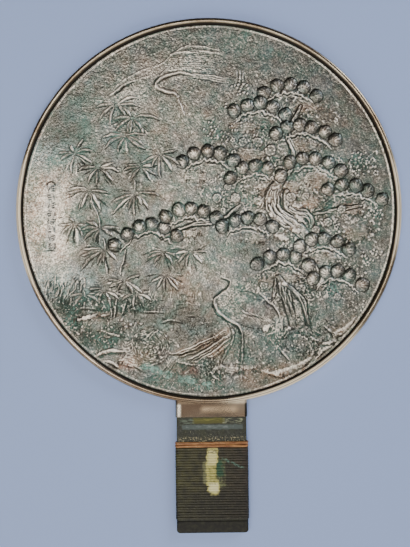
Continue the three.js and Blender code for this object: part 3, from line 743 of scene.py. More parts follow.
for x, y, *leaves in sprays:
    tangle(x, y - 3, 13, 11, 0.3)
    for _ in range(12):      # faint strokes of leaves behind
        turn = math.radians(luck.uniform(150, 390))
        start, reach = luck.uniform(2, 7), luck.uniform(5, 9)
        c, s = math.cos(turn), math.sin(turn)
        path = [(x + start * c, y + start * s), (x + (start + reach) * c, y + (start + reach) * s - 1.5)]
        line(path, 1.0, luck.choice((-0.2, 0.2)), luck.uniform(0.4, 0.9), 5, ends=(0.4, 0.1))
    for first, last, length in leaves:
        start, stem = math.radians(first), 1.3
        foot = x + stem * math.cos(start), y + stem * math.sin(start)
        leaf(*foot, first, last, length, luck.uniform(0.8, 1.2))
print("bamboo drawn")


# ---- the flying crane
clouding([(-24, 90, 26, 8, 0.1)])
for k in range(10):      # the near wing's long feathers run back from its leading edge
    t = k / 9
    (startX, startY), (endX, endY) = (-30 + 7 * t, 88.5 + 11.5 * t), (2 + 8 * t, 88 + 11.5 * t)
    path = [(startX, startY), ((startX + endX) / 2, (startY + endY) / 2 + 1.2), (endX, endY)]
    line(path, 0.9, 0.15, 0.3, 12, ends=(0.2, 0.4))
tangle(-13, 95, 20, 6, 0.35)
for px, py in scattered(-12, 93.5, 14, 5, 70, 1.1):
    curl(px, py, 0.9, 200, 140, 0.7, 0.2, luck.uniform(0.2, 0.6))
line([(-34.5, 90.6), (-27.5, 94.5), (-24, 98.5), (-16.6, 103.0), (-9.5, 104.0), (-0.6, 102.9), (9.1, 100.4)],
     1.2, 0.3, 0.6, 24, ends=(0.4, 0.1))
line([(-24.6, 98.6), (-18, 100.4), (-13.4, 100.2), (-8, 99.4)], 1.2, 0.4, 1.0, 14, ends=(0.5, 0.1))
line([(-6, 100.6), (-0.6, 100.2), (9.1, 98.6)], 1.0, 0.3, 0.7, 10, ends=(0.3, 0.1))
for k in range(22):     # the far wing: barbs fall from its upper edge
    t = k / 21
    top = np.array([-36 - 24 * t, 89.5 - 15 * t + 3 * math.sin(math.pi * t)])
    line([top, top + (1.6 - 5 * t, -5.2 + 2.4 * t)], 0.9, 0.15, 0.35, 4)
line([(-60.9, 71.8), (-57, 75.2), (-52, 79), (-47, 81.4)], 1.5, -0.3, 0.9, 12, ends=(0.2, 0.2))
line([(-61.5, 72.6), (-56, 77.4), (-47.4, 82.2), (-35.5, 85.4)], 1.0, 0.25, 0.5, 16, ends=(0.15, 0.4))
line([(-62, 73.5), (-57, 79.5), (-46, 87.2), (-35.2, 91)], 0.9, 0.2, 0.4, 16, ends=(0.15, 0.4))
neck = [(-10.2, 85.7), (-16, 86.9), (-21.8, 86.6), (-27.5, 85.0), (-31.4, 82.8), (-33.2, 80.0), (-32, 77.2),
        (-27.5, 75.3), (-22.3, 74.5), (-19.1, 71.8)]
# grooves painted dark as shadow lie beside the neck
line(moved(neck[3:7], -1.2, 0.8), 1.3, -0.3, 0.9, 16)
line(moved(neck, 0.3, -1.1), 1.4, -0.3, 0.9, 34)
line(neck, 2.1, 0.7, 1.5, 40, ends=(0.45, 0.6), blunt=1.3)
gild(neck, 18, 1.2, 1.2, 3)
line([(-30.5, 83.6), (-28.5, 87.5), (-25, 90.5)], 1.2, 0.3, 0.5, 10, ends=(0.4, 0.2))
dot(-19.4, 72.4, 1.3, 0.3)
line([(-19.1, 71.5), (-17.4, 66.2), (-14.7, 59.4)], 1.0, 0.4, 0.7, 8, ends=(0.9, 0.1))
for k in range(3):      # legs and tail laid back together, each with a groove painted dark below it as its shadow
    for drop, width, height, shine in ((0, 0.9, 0.35, 0.8), (0.8, 0.7, -0.2, 0.6)):
        path = [(-12, 86.4 - drop - 0.9 * k), (0, 85.4 - drop - 1.2 * k), (12.3, 84.0 - drop - 1.6 * k)]
        line(path, width, height, shine, 12, ends=(0.3, 0.2))
for x in (17.2, 19.2, 21.0):      # toes, each with a groove painted dark beside it as its shadow
    path = [(x, 80), (x + 0.3, 85), (x, 89)]
    line(path, 0.9, 0.25, 0.4, 5)
    line(moved(path, 1, 0), 0.8, -0.2, 0.6, 5)
print("flying crane drawn")


# ---- the standing crane
def crane(dx, dy):
    c, s = math.cos(math.radians(-20)), math.sin(math.radians(-20))
    r = np.hypot((c * dx + s * dy) / 20, (c * dy - s * dx) / 9.5)
    return 0.3 * smooth(1, 0.8, r), -0.05, smooth(1.02, 0.9, r)


figure(22.5, -62.0, 24, crane, 0.15)
tangle(10, -60, 9, 9, 0.5)
tangle(46, -72, 8, 10, 0.5)
for px, py in scattered(14, -59.5, 12, 10, 230, 0.85):      # scaly breast and back, clear of the folded wing
    if -72 < py and (px - 31) ** 2 / 110 + (py + 60) ** 2 / 42 > 1:
        curl(px, py, 0.7, 150, 210, 0.75, 0.25, luck.uniform(0.2, 0.9))
for k in range(7):      # wing quills
    path = [(21 + 2.4 * k, -62.5 - 0.6 * k), (26 + 2.2 * k, -67 - 0.4 * k), (31 + 1.6 * k, -71.5 + 0.3 * k)]
    line(path, 1.0, 0.2, 0.4, 8)
# the wing's edge: a bright ridge over a groove painted dark as its shadow
line([(20, -63), (25, -65.8), (31.5, -67.2)], 1.2, -0.3, 0.6, 10)
line([(20.5, -62), (25.5, -64.8), (31.5, -66.0)], 1.0, 0.3, 0.7, 10)
back = [(31.2, -50), (35.5, -55.2), (41, -59.7), (44.2, -65.2), (44.6, -69)]
line(back, 1.2, 0.4, 1.0, 16, ends=(0.2, 0.5))
# a groove painted dark as its shadow lies under the back
line(moved(back, 0, -1.5), 1.2, -0.2, 1.0, 16, ends=(0.2, 0.5))
line([(30.5, -55.4), (35.5, -57.8), (40.5, -59.8)], 1.1, -0.25, 0.8, 10, ends=(0.2, 0.5))
for k in range(5):      # tail plumes
    line([(42.5 + 0.8 * k, -66), (42.8 + 0.9 * k, -73), (41.5 + 1.2 * k, -80)], 0.8, 0.25, 0.6, 8)
# the neck and breast: a bright line with grooves, painted dark as shade, that keep clear of it
front = [(8.7, -41.8), (12.4, -43.2), (13.7, -45.6), (11.9, -49.6), (6.4, -53.2), (3.6, -56.3), (3.6, -59.9),
         (6.3, -64.0), (11.0, -67.4), (15.6, -70.0), (19.0, -73.0), (20.6, -76.4)]
line(moved(front[:3], -0.5, -1.0), 1.2, -0.35, 1.2, 10, ends=(0.5, 0.5))
line(moved(front[2:6], -0.8, 0.9), 1.2, -0.35, 1.2, 16, ends=(0.5, 0.6))
line(moved(front[5:], -1.1, -0.8), 1.7, -0.45, 1.5, 30, ends=(0.6, 0.9))
line(moved(front[4:10], 1.8, 0.8), 0.9, -0.2, 0.6, 30, ends=(0.4, 0.4))
line(front, 1.4, 0.55, 1.4, 44, ends=(0.3, 0.95), blunt=1.2)
line([(8.9, -41.8), (5.5, -39.6), (1.5, -36.5)], 0.8, 0.3, 0.4, 6, ends=(0.8, 0.1))
# the folded wing: a smooth oval between grooves
line([(17, -52.5), (22, -50.6), (27, -51.4), (32, -54.5)], 0.9, -0.25, 0.7, 14, ends=(0.2, 0.4))
line([(18, -58.5), (23, -63), (29, -66.4), (36, -68.4)], 0.9, -0.25, 0.7, 14, ends=(0.2, 0.4))
line([(20, -71.6), (26, -73.6), (33, -73.8), (40, -71.5)], 0.9, -0.2, 0.5, 14)
legs = [
    [(20.6, -76), (21.3, -82), (21.2, -90), (20.4, -104)],
    [(12.6, -70.5), (15.2, -76), (14.8, -82), (10.8, -89), (7.6, -97.5)],
]
for leg in legs:
    # a groove painted dark as shade on either side of each leg
    for shift in (-1.1, 1.1):
        line(moved(leg, shift, 0), 0.8, -0.25, 0.5, 16, ends=(0.7, 0.6))
    line(leg, 1.5, 0.4, 0.3, 16, ends=(0.7, 0.6))
for spread in (-5, 0, 5):
    for x, ankle, sole in ((20.4, -103.5, -106.4), (7.6, -97, -99.6)):
        line([(x, ankle), (x + spread, sole)], 1.0, 0.3, 0.8, 3, ends=(0.8, 0.2))
print("standing crane drawn")


# ---- the tortoise: a round back of fine broken rings, crossed by the seams of its plates
tortoise = {"x": -36.5, "y": -85.2, "half": 12.6, "flat": 0.92, "rings": 9, "seams": 44}


def shell(dx, dy):
    r = np.hypot(dx, dy) / tortoise["half"]
    return 0.2 + 0.5 * np.clip(1 - r ** 2, 0, 1), -0.45, 0.9 * smooth(1.08, 0.9, r)


figure(tortoise["x"], tortoise["y"], 15, shell, 0.35)
tangle(tortoise["x"], tortoise["y"], 12, 12, 0.5)


def onShell(r, degrees):
    a, reach = math.radians(degrees), tortoise["half"]
    return tortoise["x"] + reach * r * math.cos(a), tortoise["y"] + tortoise["flat"] * reach * r * math.sin(a)


for k in range(tortoise["rings"]):
    r = (k + 0.6) / tortoise["rings"]
    step = 40 / (k + 1.5) + 16
    at = luck.uniform(0, 360)
    last = at + 360
    while at < last:
        sweep = step * luck.uniform(0.6, 1.3)
        arc = [onShell(r + 0.02 * luck.normal(), at + sweep * t) for t in (0, 0.5, 1)]
        line(arc, 0.9, 0.3, luck.uniform(0.6, 1.4), 8, ends=(0.4, 0.4))
        at += sweep + 60 / (k + 3)
for _ in range(tortoise["seams"]):
    r, at = luck.uniform(0.15, 0.95), luck.uniform(0, 360)
    path = [onShell(r, at), onShell(r + 0.18, at + luck.uniform(-14, 14))]
    line(path, 0.85, 0.25, luck.uniform(0.5, 1.2), 4)
for heading in (140, 200, 250, 325, 15):      # limbs and tail: three strokes each
    for spread in (-9, 0, 9):
        turns = ((0.98, spread), (1.25, 0.6 * spread - 8), (1.5, -20))
        line([onShell(r, heading + turn) for r, turn in turns], 0.9, 0.25, 0.5, 8, ends=(0.5, 0.2))
head = [(-39.5, -80.5), (-37.6, -78.0), (-34.2, -75.2)]
for shift in (0, 2.2):      # the raised head
    line(moved(head, shift, 0), 1.2, 0.45, 1.4, 8, ends=(0.5, 0.4))
line([(-39.5, -97), (-36.5, -97.4), (-34, -96)], 1.4, 0.4, 1.0, 8, ends=(0.6, 0.4))
for k in range(6):      # trailing weed, and the water it parts
    line([(-47, -81 - 1.6 * k), (-51, -83 - 1.8 * k), (-55, -81 - 2.2 * k)], 0.9, 0.25, 0.5, 8)
    line([(-24 + 0.9 * k, -84), (-22.5 + 0.8 * k, -90), (-26 + 0.5 * k, -96)], 0.8, 0.2, 0.3, 10)
print("tortoise drawn")


# ---- the maker's column: a sunk panel with rows of strokes that spell nothing
column = {"x": -99.6, "top": 17.0, "bottom": -24.5, "rows": 8, "stroke": 3.6, "panel": 6.4, "sunk": 0.12}
tall = column["top"] - column["bottom"]
awayX, awayY = abs(sheetX - column["x"]), abs(sheetY - (column["top"] + column["bottom"]) / 2)
across, along = [smooth(size / 2 + 0.3, size / 2 - 0.3, away)
                 for size, away in ((column["panel"], awayX), (tall, awayY))]
relief -= column["sunk"] * across * along
for k in range(column["rows"]):
    y = column["top"] - (k + 0.5) * tall / column["rows"]
    w = column["stroke"] / 2
    lean = 1 if k % 2 else -1      # the upright dash stands clear of the level ones, to either side
    strokes = [[(-w * lean, rise), ((-0.1 + 0.25 * math.sin(2.2 * k + rise)) * w * lean, rise)]
               for rise in (1.5, 0.1, -1.3)]
    strokes.append([(w * lean, 1.2 + 0.5 * math.cos(k)), (w * lean, -1.4)])
    for stroke in strokes:
        placed = moved(stroke, column["x"], y)
        # below and right of each stroke lies a groove painted dark as its shadow
        line(moved(placed, 0.4, -0.5), 1.1, -0.2, 1.0, 4, ends=(0.8, 0.8))
        line(placed, 0.8, 0.3, 0.5, 4, ends=(0.8, 0.8))
arc = [(2.8 * math.cos(a), 2.0 * math.sin(a)) for a in np.radians(np.linspace(190, -10, 6))]
line(moved(arc, column["x"], column["top"] - 0.4), 1.1, -0.3, 1.2, 10, ends=(0.8, 0.8))
line(moved([(-2.8, 0), (2.8, 0)], column["x"], column["bottom"] - 0.6), 0.9, -0.3, 0.9, 4, ends=(0.8, 0.8))


# ---- wear and grain
relief = blurred(relief, sheet["worn"])
hollow = blurred(relief, 0.8) - relief
for height, size in ((0.035, 0.2), (0.02, 0.45), (0.04, 2.2)):      # sand, pits and swells, mm
    relief += height * speckle(size)
# the field ends in a smooth fillet and a groove at the foot of the rim
radius = np.hypot(sheetX, sheetY)
relief *= smooth(116.0, 115.0, radius)
relief += 0.35 * np.exp(-((radius - 116.7) / 0.4) ** 2)
print("relief worn and grained")

# ---- where the patina lies: centre, half sizes, strength
verdigris = [
    (20, 106, 34, 9, 0.9), (-84, 52, 26, 24, 0.5), (-50, 48, 22, 18, 0.45), (-70, 5, 22, 20, 0.35),
    (2, 50, 12, 8, 0.7), (15, -60, 12, 9, 0.9), (42, -84, 14, 9, 0.95), (-66, -82, 16, 12, 0.4),
    (104, -6, 10, 10, 0.6), (98, -30, 10, 8, 0.5), (28, 22, 10, 8, 0.5), (-20, -28, 20, 8, 0.5),
    (12, -34, 16, 10, 0.4), (-12, 4, 20, 8, 0.3), (-94, -38, 14, 8, 0.5), (-94, 26, 10, 8, 0.5),
    (-34, -14, 30, 8, 0.3), (64, -70, 18, 10, 0.35),
]
bare = [
    (-98, -2, 12, 26, 0.5), (-18, 56, 22, 16, 0.5), (-36, 92, 26, 10, 0.5), (-13, -46, 16, 15, 0.9),
    (-30, 8, 12, 10, 0.6), (62, 6, 28, 12, 0.6), (40, -104, 30, 8, 0.8), (-48, -92, 16, 6, 0.5),
    (0, -86, 14, 8, 0.8), (-76, -68, 12, 6, 0.6), (-12, -98, 14, 5, 0.4), (84, -76, 12, 8, 0.5),
    (84, 66, 24, 22, 0.25), (40, 10, 20, 14, 0.5), (90, -14, 8, 6, 0.5),
]


def clouded(blobs, roughening, size):
    total = np.zeros_like(relief)
    for x, y, rx, ry, strength in blobs:
        away = ((sheetX - x) / rx) ** 2 + ((sheetY - y) / ry) ** 2
        total = np.maximum(total, strength * np.exp(-away))
    return np.clip(total * (1 + roughening * speckle(size)), 0, 1)


hollowShare = np.clip(hollow / 0.3, -1, 1)
# lighter and darker stretches of the field: centre, half sizes, amount; the bright stretch by the left rim is
# a painted reflection
stretches = [
    (-97, -4, 13, 34, 0.45), (-50, 72, 14, 8, 0.25), (-12, 16, 22, 12, 0.15), (-18, 62, 20, 14, 0.05),
    (-20, 88, 20, 8, 0.1), (42, 6, 16, 16, 0.15), (102, 5, 14, 40, -0.1), (86, 66, 22, 20, -0.12),
    (60, 60, 12, 6, 0.1), (-92, 58, 16, 24, -0.25), (-84, -64, 28, 14, -0.35), (-66, -81, 24, 9, -0.4),
    (-28, -62, 30, 10, -0.3), (-26, -34, 12, 14, -0.12), (-70, -24, 16, 14, -0.1), (14, -44, 9, 22, 0.1),
    (-8, -82, 16, 10, -0.3), (60, -84, 30, 14, -0.15), (0, -106, 60, 12, -0.2), (16, 46, 20, 12, -0.1),
    (24, 106, 24, 8, 0.15), (-60, 20, 24, 24, -0.22), (-36, -36, 22, 20, -0.22), (-44, 12, 14, 12, -0.12),
    (-92, 44, 12, 10, -0.3), (-76, -18, 10, 26, -0.2), (-10, 13, 12, 9, -0.25), (-16, -69, 18, 8, -0.25),
    (24, -28, 14, 14, -0.2), (66, -36, 14, 12, 0.14), (48, -76, 12, 13, 0.22), (28, 70, 14, 12, 0.1),
    (55, -20, 12, 8, 0.1),
]
clouding(stretches)
sandy = 0.21 * speckle(0.22) + 0.03 * speckle(0.6) + 0.07 * smooth(80, 30, sheetY) * speckle(1.8)
# painted glints: sparse bright specks, most of them in the moss
tone += 0.9 * smooth(2.1, 3.0, speckle(0.3)) * (0.35 + 1.2 * moss)
# a painted highlight, warmed with gold, along the fillet at the field's edge, and painted shade at the foot
# of the rim's wall
foot = np.exp(-((radius - 116.0) / 0.3) ** 2) * np.clip(0.8 + 0.3 * speckle(6.0), 0, 1.2)
tone = tone * smooth(116.2, 115.2, radius) + 0.7 * foot - 1.0 * smooth(116.6, 117.1, radius)
gold += 0.8 * foot
tone = np.clip(blurred(np.clip(tone, -1.3, 1.3), 0.12) - 0.3 * hollowShare + sandy, -1, 1)
patina = clouded(verdigris, 0.55, 1.6) * (0.55 + 0.6 * np.clip(hollowShare, -0.6, 1))
patina = patina + 0.28 * np.clip(speckle(2.6) - 0.9, 0, 1) + 0.25 * np.clip(hollowShare - 0.3, 0, 1)
patina = np.clip(patina, 0, 1)
# fresh verdigris by the lower left rim
streak = smoothLine([(-40, -98.5), (-24, -104), (-2, -110.5)], 16)
patina = np.maximum(patina, clouded([(x, y, 5.5, 2.6, 1.1) for x, y in streak], 0.5, 1.2))
patina = np.maximum(patina, moss * np.clip(0.55 + 0.4 * speckle(5.0), 0, 1))
warmth = np.clip(clouded(bare, 0.35, 3.0) + gold, 0, 1.5)
print("patina laid")


# ---- the field: four quarters of one disc, each a fine grid pulled into shape
field = {"height": 2.4, "radius": 117.42, "grid": 312}
slopeY, slopeX = np.gradient(relief, cell)


def sampled(values, x, y):
    u, v = (x + half) / cell, (y + half) / cell
    i, j = u.astype(int), v.astype(int)
    f, g = u - i, v - j
    low = values[j, i] * (1 - f) + values[j, i + 1] * f
    high = values[j + 1, i] * (1 - f) + values[j + 1, i + 1] * f
    return low * (1 - g) + high * g


def fieldQuarter(index):
    deselectAll()
    steps = field["grid"]
    bpy.ops.mesh.primitive_grid_add(x_subdivisions=steps, y_subdivisions=steps, size=2)
    quarter = bpy.context.object
    quarter.name = "reliefField" + "ABCD"[index]
    mesh = quarter.data
    co = np.empty(len(mesh.vertices) * 3, np.float32)
    mesh.vertices.foreach_get("co", co)
    a, b = (co.reshape(-1, 3)[:, k].astype(float) / 2 + 0.5 for k in (0, 1))
    # equal squares of the grid become equal patches of the quarter disc
    reach = np.maximum(a, b)
    eighth = np.pi / 4
    angle = np.where(a >= b, eighth * b / np.maximum(a, 1e-9), 2 * eighth - eighth * a / np.maximum(b, 1e-9))
    angle = angle + index * np.pi / 2
    x, y = field["radius"] * reach * np.cos(angle), field["radius"] * reach * np.sin(angle)
    turn = math.radians(sheet["turn"])
    sx, sy = x * math.cos(turn) - y * math.sin(turn), x * math.sin(turn) + y * math.cos(turn)
    z = field["height"] + sampled(relief, sx, sy)
    mesh.vertices.foreach_set("co", (np.stack([x, y, z], 1) * mm).astype(np.float32).ravel())
    for name, values in (("tone", tone), ("patina", patina), ("warmth", warmth)):
        layer = mesh.attributes.new(name, "FLOAT", "POINT")
        layer.data.foreach_set("value", sampled(values, sx, sy).astype(np.float32))
    gx, gy = sampled(slopeX, sx, sy), sampled(slopeY, sx, sy)
    # the slopes turn back with the picture
    gx, gy = gx * math.cos(turn) + gy * math.sin(turn), gy * math.cos(turn) - gx * math.sin(turn)
    normals = np.stack([-gx, -gy, np.ones_like(gx)], 1)
    normals /= np.linalg.norm(normals, axis=1)[:, None]
    mesh.update()
    mesh.shade_smooth()
    mesh.normals_split_custom_set_from_vertices(normals.tolist())
    return quarter


quarters = [fieldQuarter(k) for k in range(4)]
print("field made of", sum(len(q.data.polygons) for q in quarters), "faces")


# ---- the disc with its rim
disc = {
    "radius": castHigh.x / mm, "height": castHigh.z / mm, "rim": 2.8, "wall": 1.05, "floor": 1.7,
    "sides": 288, "outerEdge": 1.5, "innerEdge": 0.5, "lowerEdge": 0.8,
    "smoothBelow": 38,    # degrees
}
deselectAll()
bpy.ops.mesh.primitive_cylinder_add(vertices=disc["sides"], radius=disc["radius"] * mm,
                                    depth=disc["height"] * mm, location=(0, 0, disc["height"] * mm / 2))
body = settled("mirrorBody")
selectParts(body, "FACE", lambda centre, normal: normal.z > 0.9)
innerRim = disc["radius"] - disc["rim"]
bpy.ops.mesh.inset(thickness=disc["rim"] * mm)
deep = (disc["floor"] - disc["height"]) * mm
bpy.ops.mesh.extrude_region_move(TRANSFORM_OT_translate={"value": (0, 0, deep)})
shrink = (innerRim - disc["wall"]) / innerRim
bpy.ops.transform.resize(value=(shrink, shrink, 1))


def onRing(radius, height):
    def on(p):
        return abs(math.hypot(p.x, p.y) - radius) < 0.05 and abs(p.z - height) < 0.02
    return lambda first, second: on(first) and on(second)


bevelEdges(body, onRing(disc["radius"], disc["height"]), disc["outerEdge"], 7)
bevelEdges(body, onRing(innerRim, disc["height"]), disc["innerEdge"], 3)
bevelEdges(body, onRing(disc["radius"], 0), disc["lowerEdge"], 3)
bpy.ops.object.mode_set(mode="OBJECT")


# ---- the handle: a bar drawn out of the rim, let in where the winding sits
grip = {
    "width": 45.0, "thickness": 4.4, "tuck": 2.4, "neck": 8.5, "letIn": 0.6, "seatLow": 1.2, "seatHigh": 3.9,
    "end": 7.0, "corner": 2.2, "edge": 1.7, "lowerEdge": 0.8, "seatEdge": 0.5,
}
rimFoot, handleEnd = -disc["radius"], castLow.y / mm
seatStart, seatEnd = rimFoot - grip["neck"], handleEnd + grip["end"]
deselectAll()
length = grip["neck"] + grip["tuck"]
bpy.ops.mesh.primitive_cube_add(
    size=1, location=(0, (seatStart + length / 2) * mm, grip["thickness"] / 2 * mm),
    scale=(grip["width"] * mm, length * mm, grip["thickness"] * mm))
handle = settled("handle")
selectParts(handle, "FACE", lambda centre, normal: normal.y < -0.9)
narrow = 1 - 2 * grip["letIn"] / grip["width"]
thin = (grip["seatHigh"] - grip["seatLow"]) / grip["thickness"]
rise = (grip["seatHigh"] + grip["seatLow"] - grip["thickness"]) / 2
bpy.ops.mesh.extrude_region_move()
bpy.ops.transform.resize(value=(narrow, 1, thin))
bpy.ops.transform.translate(value=(0, 0, rise * mm))
bpy.ops.mesh.extrude_region_move(TRANSFORM_OT_translate={"value": (0, (seatEnd - seatStart) * mm, 0)})
bpy.ops.mesh.extrude_region_move()
bpy.ops.transform.resize(value=(1 / narrow, 1, 1 / thin))
bpy.ops.transform.translate(value=(0, 0, -rise * mm))
bpy.ops.mesh.extrude_region_move(TRANSFORM_OT_translate={"value": (0, -grip["end"] * mm, 0)})


def longEdge(level, reach):
    def accept(first, second):
        along = abs(first.y - second.y) > 1 and abs(first.x - second.x) < 0.01
        return along and abs(first.z - level) < 0.02 and abs(abs(first.x) - reach) < 0.02
    return accept


gripHalf = grip["width"] / 2
bevelEdges(handle, lambda a, b: abs(a.z - b.z) > 4 and min(a.y, b.y) < handleEnd + 0.1, grip["corner"], 6)
bevelEdges(handle, longEdge(grip["thickness"], gripHalf), grip["edge"], 5)
bevelEdges(handle, longEdge(0, gripHalf), grip["lowerEdge"], 3)
bevelEdges(handle, longEdge(grip["seatHigh"], gripHalf - grip["letIn"]), grip["seatEdge"], 3)
bpy.ops.object.mode_set(mode="OBJECT")

deselectAll()
body.select_set(True)
bpy.context.view_layer.objects.active = body
join = body.modifiers.new("join", "BOOLEAN")
join.operation = "UNION"
join.solver = "EXACT"
join.object = handle
bpy.ops.object.modifier_apply(modifier="join")
bpy.data.objects.remove(handle)
bpy.ops.object.shade_smooth_by_angle(angle=math.radians(disc["smoothBelow"]))
print("body joined,", len(body.data.polygons), "faces")


# ---- the winding: closed turns of split cane round the seat
turnsOf = {
    "winding": {"first": windHigh.y / mm, "last": windLow.y / mm, "pitch": 1.6, "thick": 0.75, "round": 0.48},
    "cane": {"first": caneHigh.y / mm, "last": caneLow.y / mm, "pitch": 1.8, "thick": 0.85, "round": 0.7},
}
clear = 0.3
innerHalf = gripHalf - grip["letIn"] + clear
innerLow, innerHigh = grip["seatLow"] - clear, grip["seatHigh"] + clear
innerCorner = 0.9


# one turn at the origin: a band closed round the seat, flat inside and rounded outside
def oneTurn(name, width, thick, rounding):
    halfX, halfZ = innerHalf + thick, (innerHigh - innerLow) / 2 + thick
    middle, corner = (innerHigh + innerLow) / 2, innerCorner + thick
    deselectAll()
    bpy.ops.mesh.primitive_cube_add(size=1, location=(0, 0, middle * mm),
                                    scale=(2 * halfX * mm, width * mm, 2 * halfZ * mm))
    turn = settled(name)
    bevelEdges(turn, lambda a, b: abs(a.y - b.y) > width / 2, corner, 5)
    selectParts(turn, "FACE", lambda centre, normal: abs(normal.y) > 0.9)
    bpy.ops.mesh.inset(thickness=thick * mm)
    bpy.ops.mesh.bridge_edge_loops()

    def onOutside(p):
        x, z = abs(p.x) - halfX + corner, abs(p.z - middle) - halfZ + corner
        return abs(p.y) > 0.4 * width and abs(math.hypot(max(x, 0), max(z, 0)) - corner) < 0.02
    bevelEdges(turn, lambda a, b: onOutside(a) and onOutside(b) and abs(a.y - b.y) < 0.1, rounding, 4)
    bpy.ops.mesh.select_all(action="SELECT")
    bpy.ops.mesh.normals_make_consistent(inside=False)
    bpy.ops.object.mode_set(mode="OBJECT")
    return turn


def wound(name, sizes, tilt):
    start, stop = sizes["first"], sizes["last"]
    count = round((start - stop) / sizes["pitch"])
    pitch = (start - stop) / count
    made = [oneTurn(name, 0.97 * pitch, sizes["thick"], sizes["round"])]
    for _ in range(count - 1):
        again = made[0].copy()
        again.data = made[0].data.copy()
        bpy.context.scene.collection.objects.link(again)
        made.append(again)
    deselectAll()
    for k, turn in enumerate(made):
        turn.location.y = (start - (k + 0.5) * pitch) * mm
        turn.rotation_euler.z = math.radians(tilt * luck.uniform(-1, 1))
        turn.select_set(True)
    bpy.context.view_layer.objects.active = made[0]
    bpy.ops.object.transform_apply(location=True, rotation=True, scale=True)
    bpy.ops.object.join()
    made[0].name = name
    bpy.ops.object.shade_smooth_by_angle(angle=math.radians(50))
    return made[0]


winding = wound("gripWinding", turnsOf["winding"], 0.08)
cane = wound("caneBinding", turnsOf["cane"], 0.25)
print("grip wound")


# ---- materials
# joins shares, one after another, by a math operation
def combine(tree, operation, *shares):
    result = shares[0]
    for share in shares[1:]:
        result = addNode(tree, "Math", {0: result, 1: share}, operation=operation)
    return result


# a share that is 1 where low < value < high, in mm, with soft limits
def band(tree, value, low, high, soft):
    limits = ((low - soft, low + soft), (high + soft, high - soft))
    slopes = [addNode(tree, "MapRange", {"Value": value, "From Min": start * mm, "From Max": end * mm},
                      interpolation_type="SMOOTHSTEP") for start, end in limits]
    return combine(tree, "MULTIPLY", *slopes)


# a share that is 1 inside an oblong; spots is another share that breaks it up
def patch(tree, axes, lowX, highX, lowY, highY, soft, strength, spots=1.0):
    across, along = band(tree, axes[0], lowX, highX, soft), band(tree, axes[1], lowY, highY, soft)
    return combine(tree, "MULTIPLY", across, along, spots, strength)


# a blotchy share from noise of a real size in mm, from 0 at the level low up to strength at the level high
def mottle(tree, place, size, low, high, strength=1.0, detail=4.0, rough=0.6):
    cloud = addNode(tree, "TexNoise", {"Vector": place, "Scale": 1 / (size * mm), "Detail": detail,
                                       "Roughness": rough})
    return addNode(tree, "MapRange", {"Value": cloud, "From Min": low, "From Max": high, "To Max": strength})


# coats of colour laid over one another, each with the share that it covers
def coats(tree, base, layers):
    colour = linear(base)
    for share, hexColour in layers:
        colour = addNode(tree, "Mix", {0: share, 6: colour, 7: linear(hexColour)}, 2, data_type="RGBA")
    return colour


# coats in oblongs: rows of a colour and the oblong's limits, softness, strength and spots
def patches(tree, axes, rows):
    return [(patch(tree, axes, *values), hexColour) for hexColour, *values in rows]


# the place, pushed about by noise so that painted edges are ragged
def raggedAxes(tree, place, size, push):
    stir = addNode(tree, "TexNoise", {"Vector": place, "Scale": 1 / (size * mm), "Detail": 3.0}, "Color")
    middle = addNode(tree, "VectorMath", {0: stir, 1: (0.5, 0.5, 0.5)}, operation="SUBTRACT")
    scaled = addNode(tree, "VectorMath", {0: middle, "Scale": push * mm}, operation="SCALE")
    pushed = addNode(tree, "VectorMath", {0: place, 1: scaled}, operation="ADD")
    return [addNode(tree, "SeparateXYZ", {"Vector": pushed}, k) for k in (0, 1)]


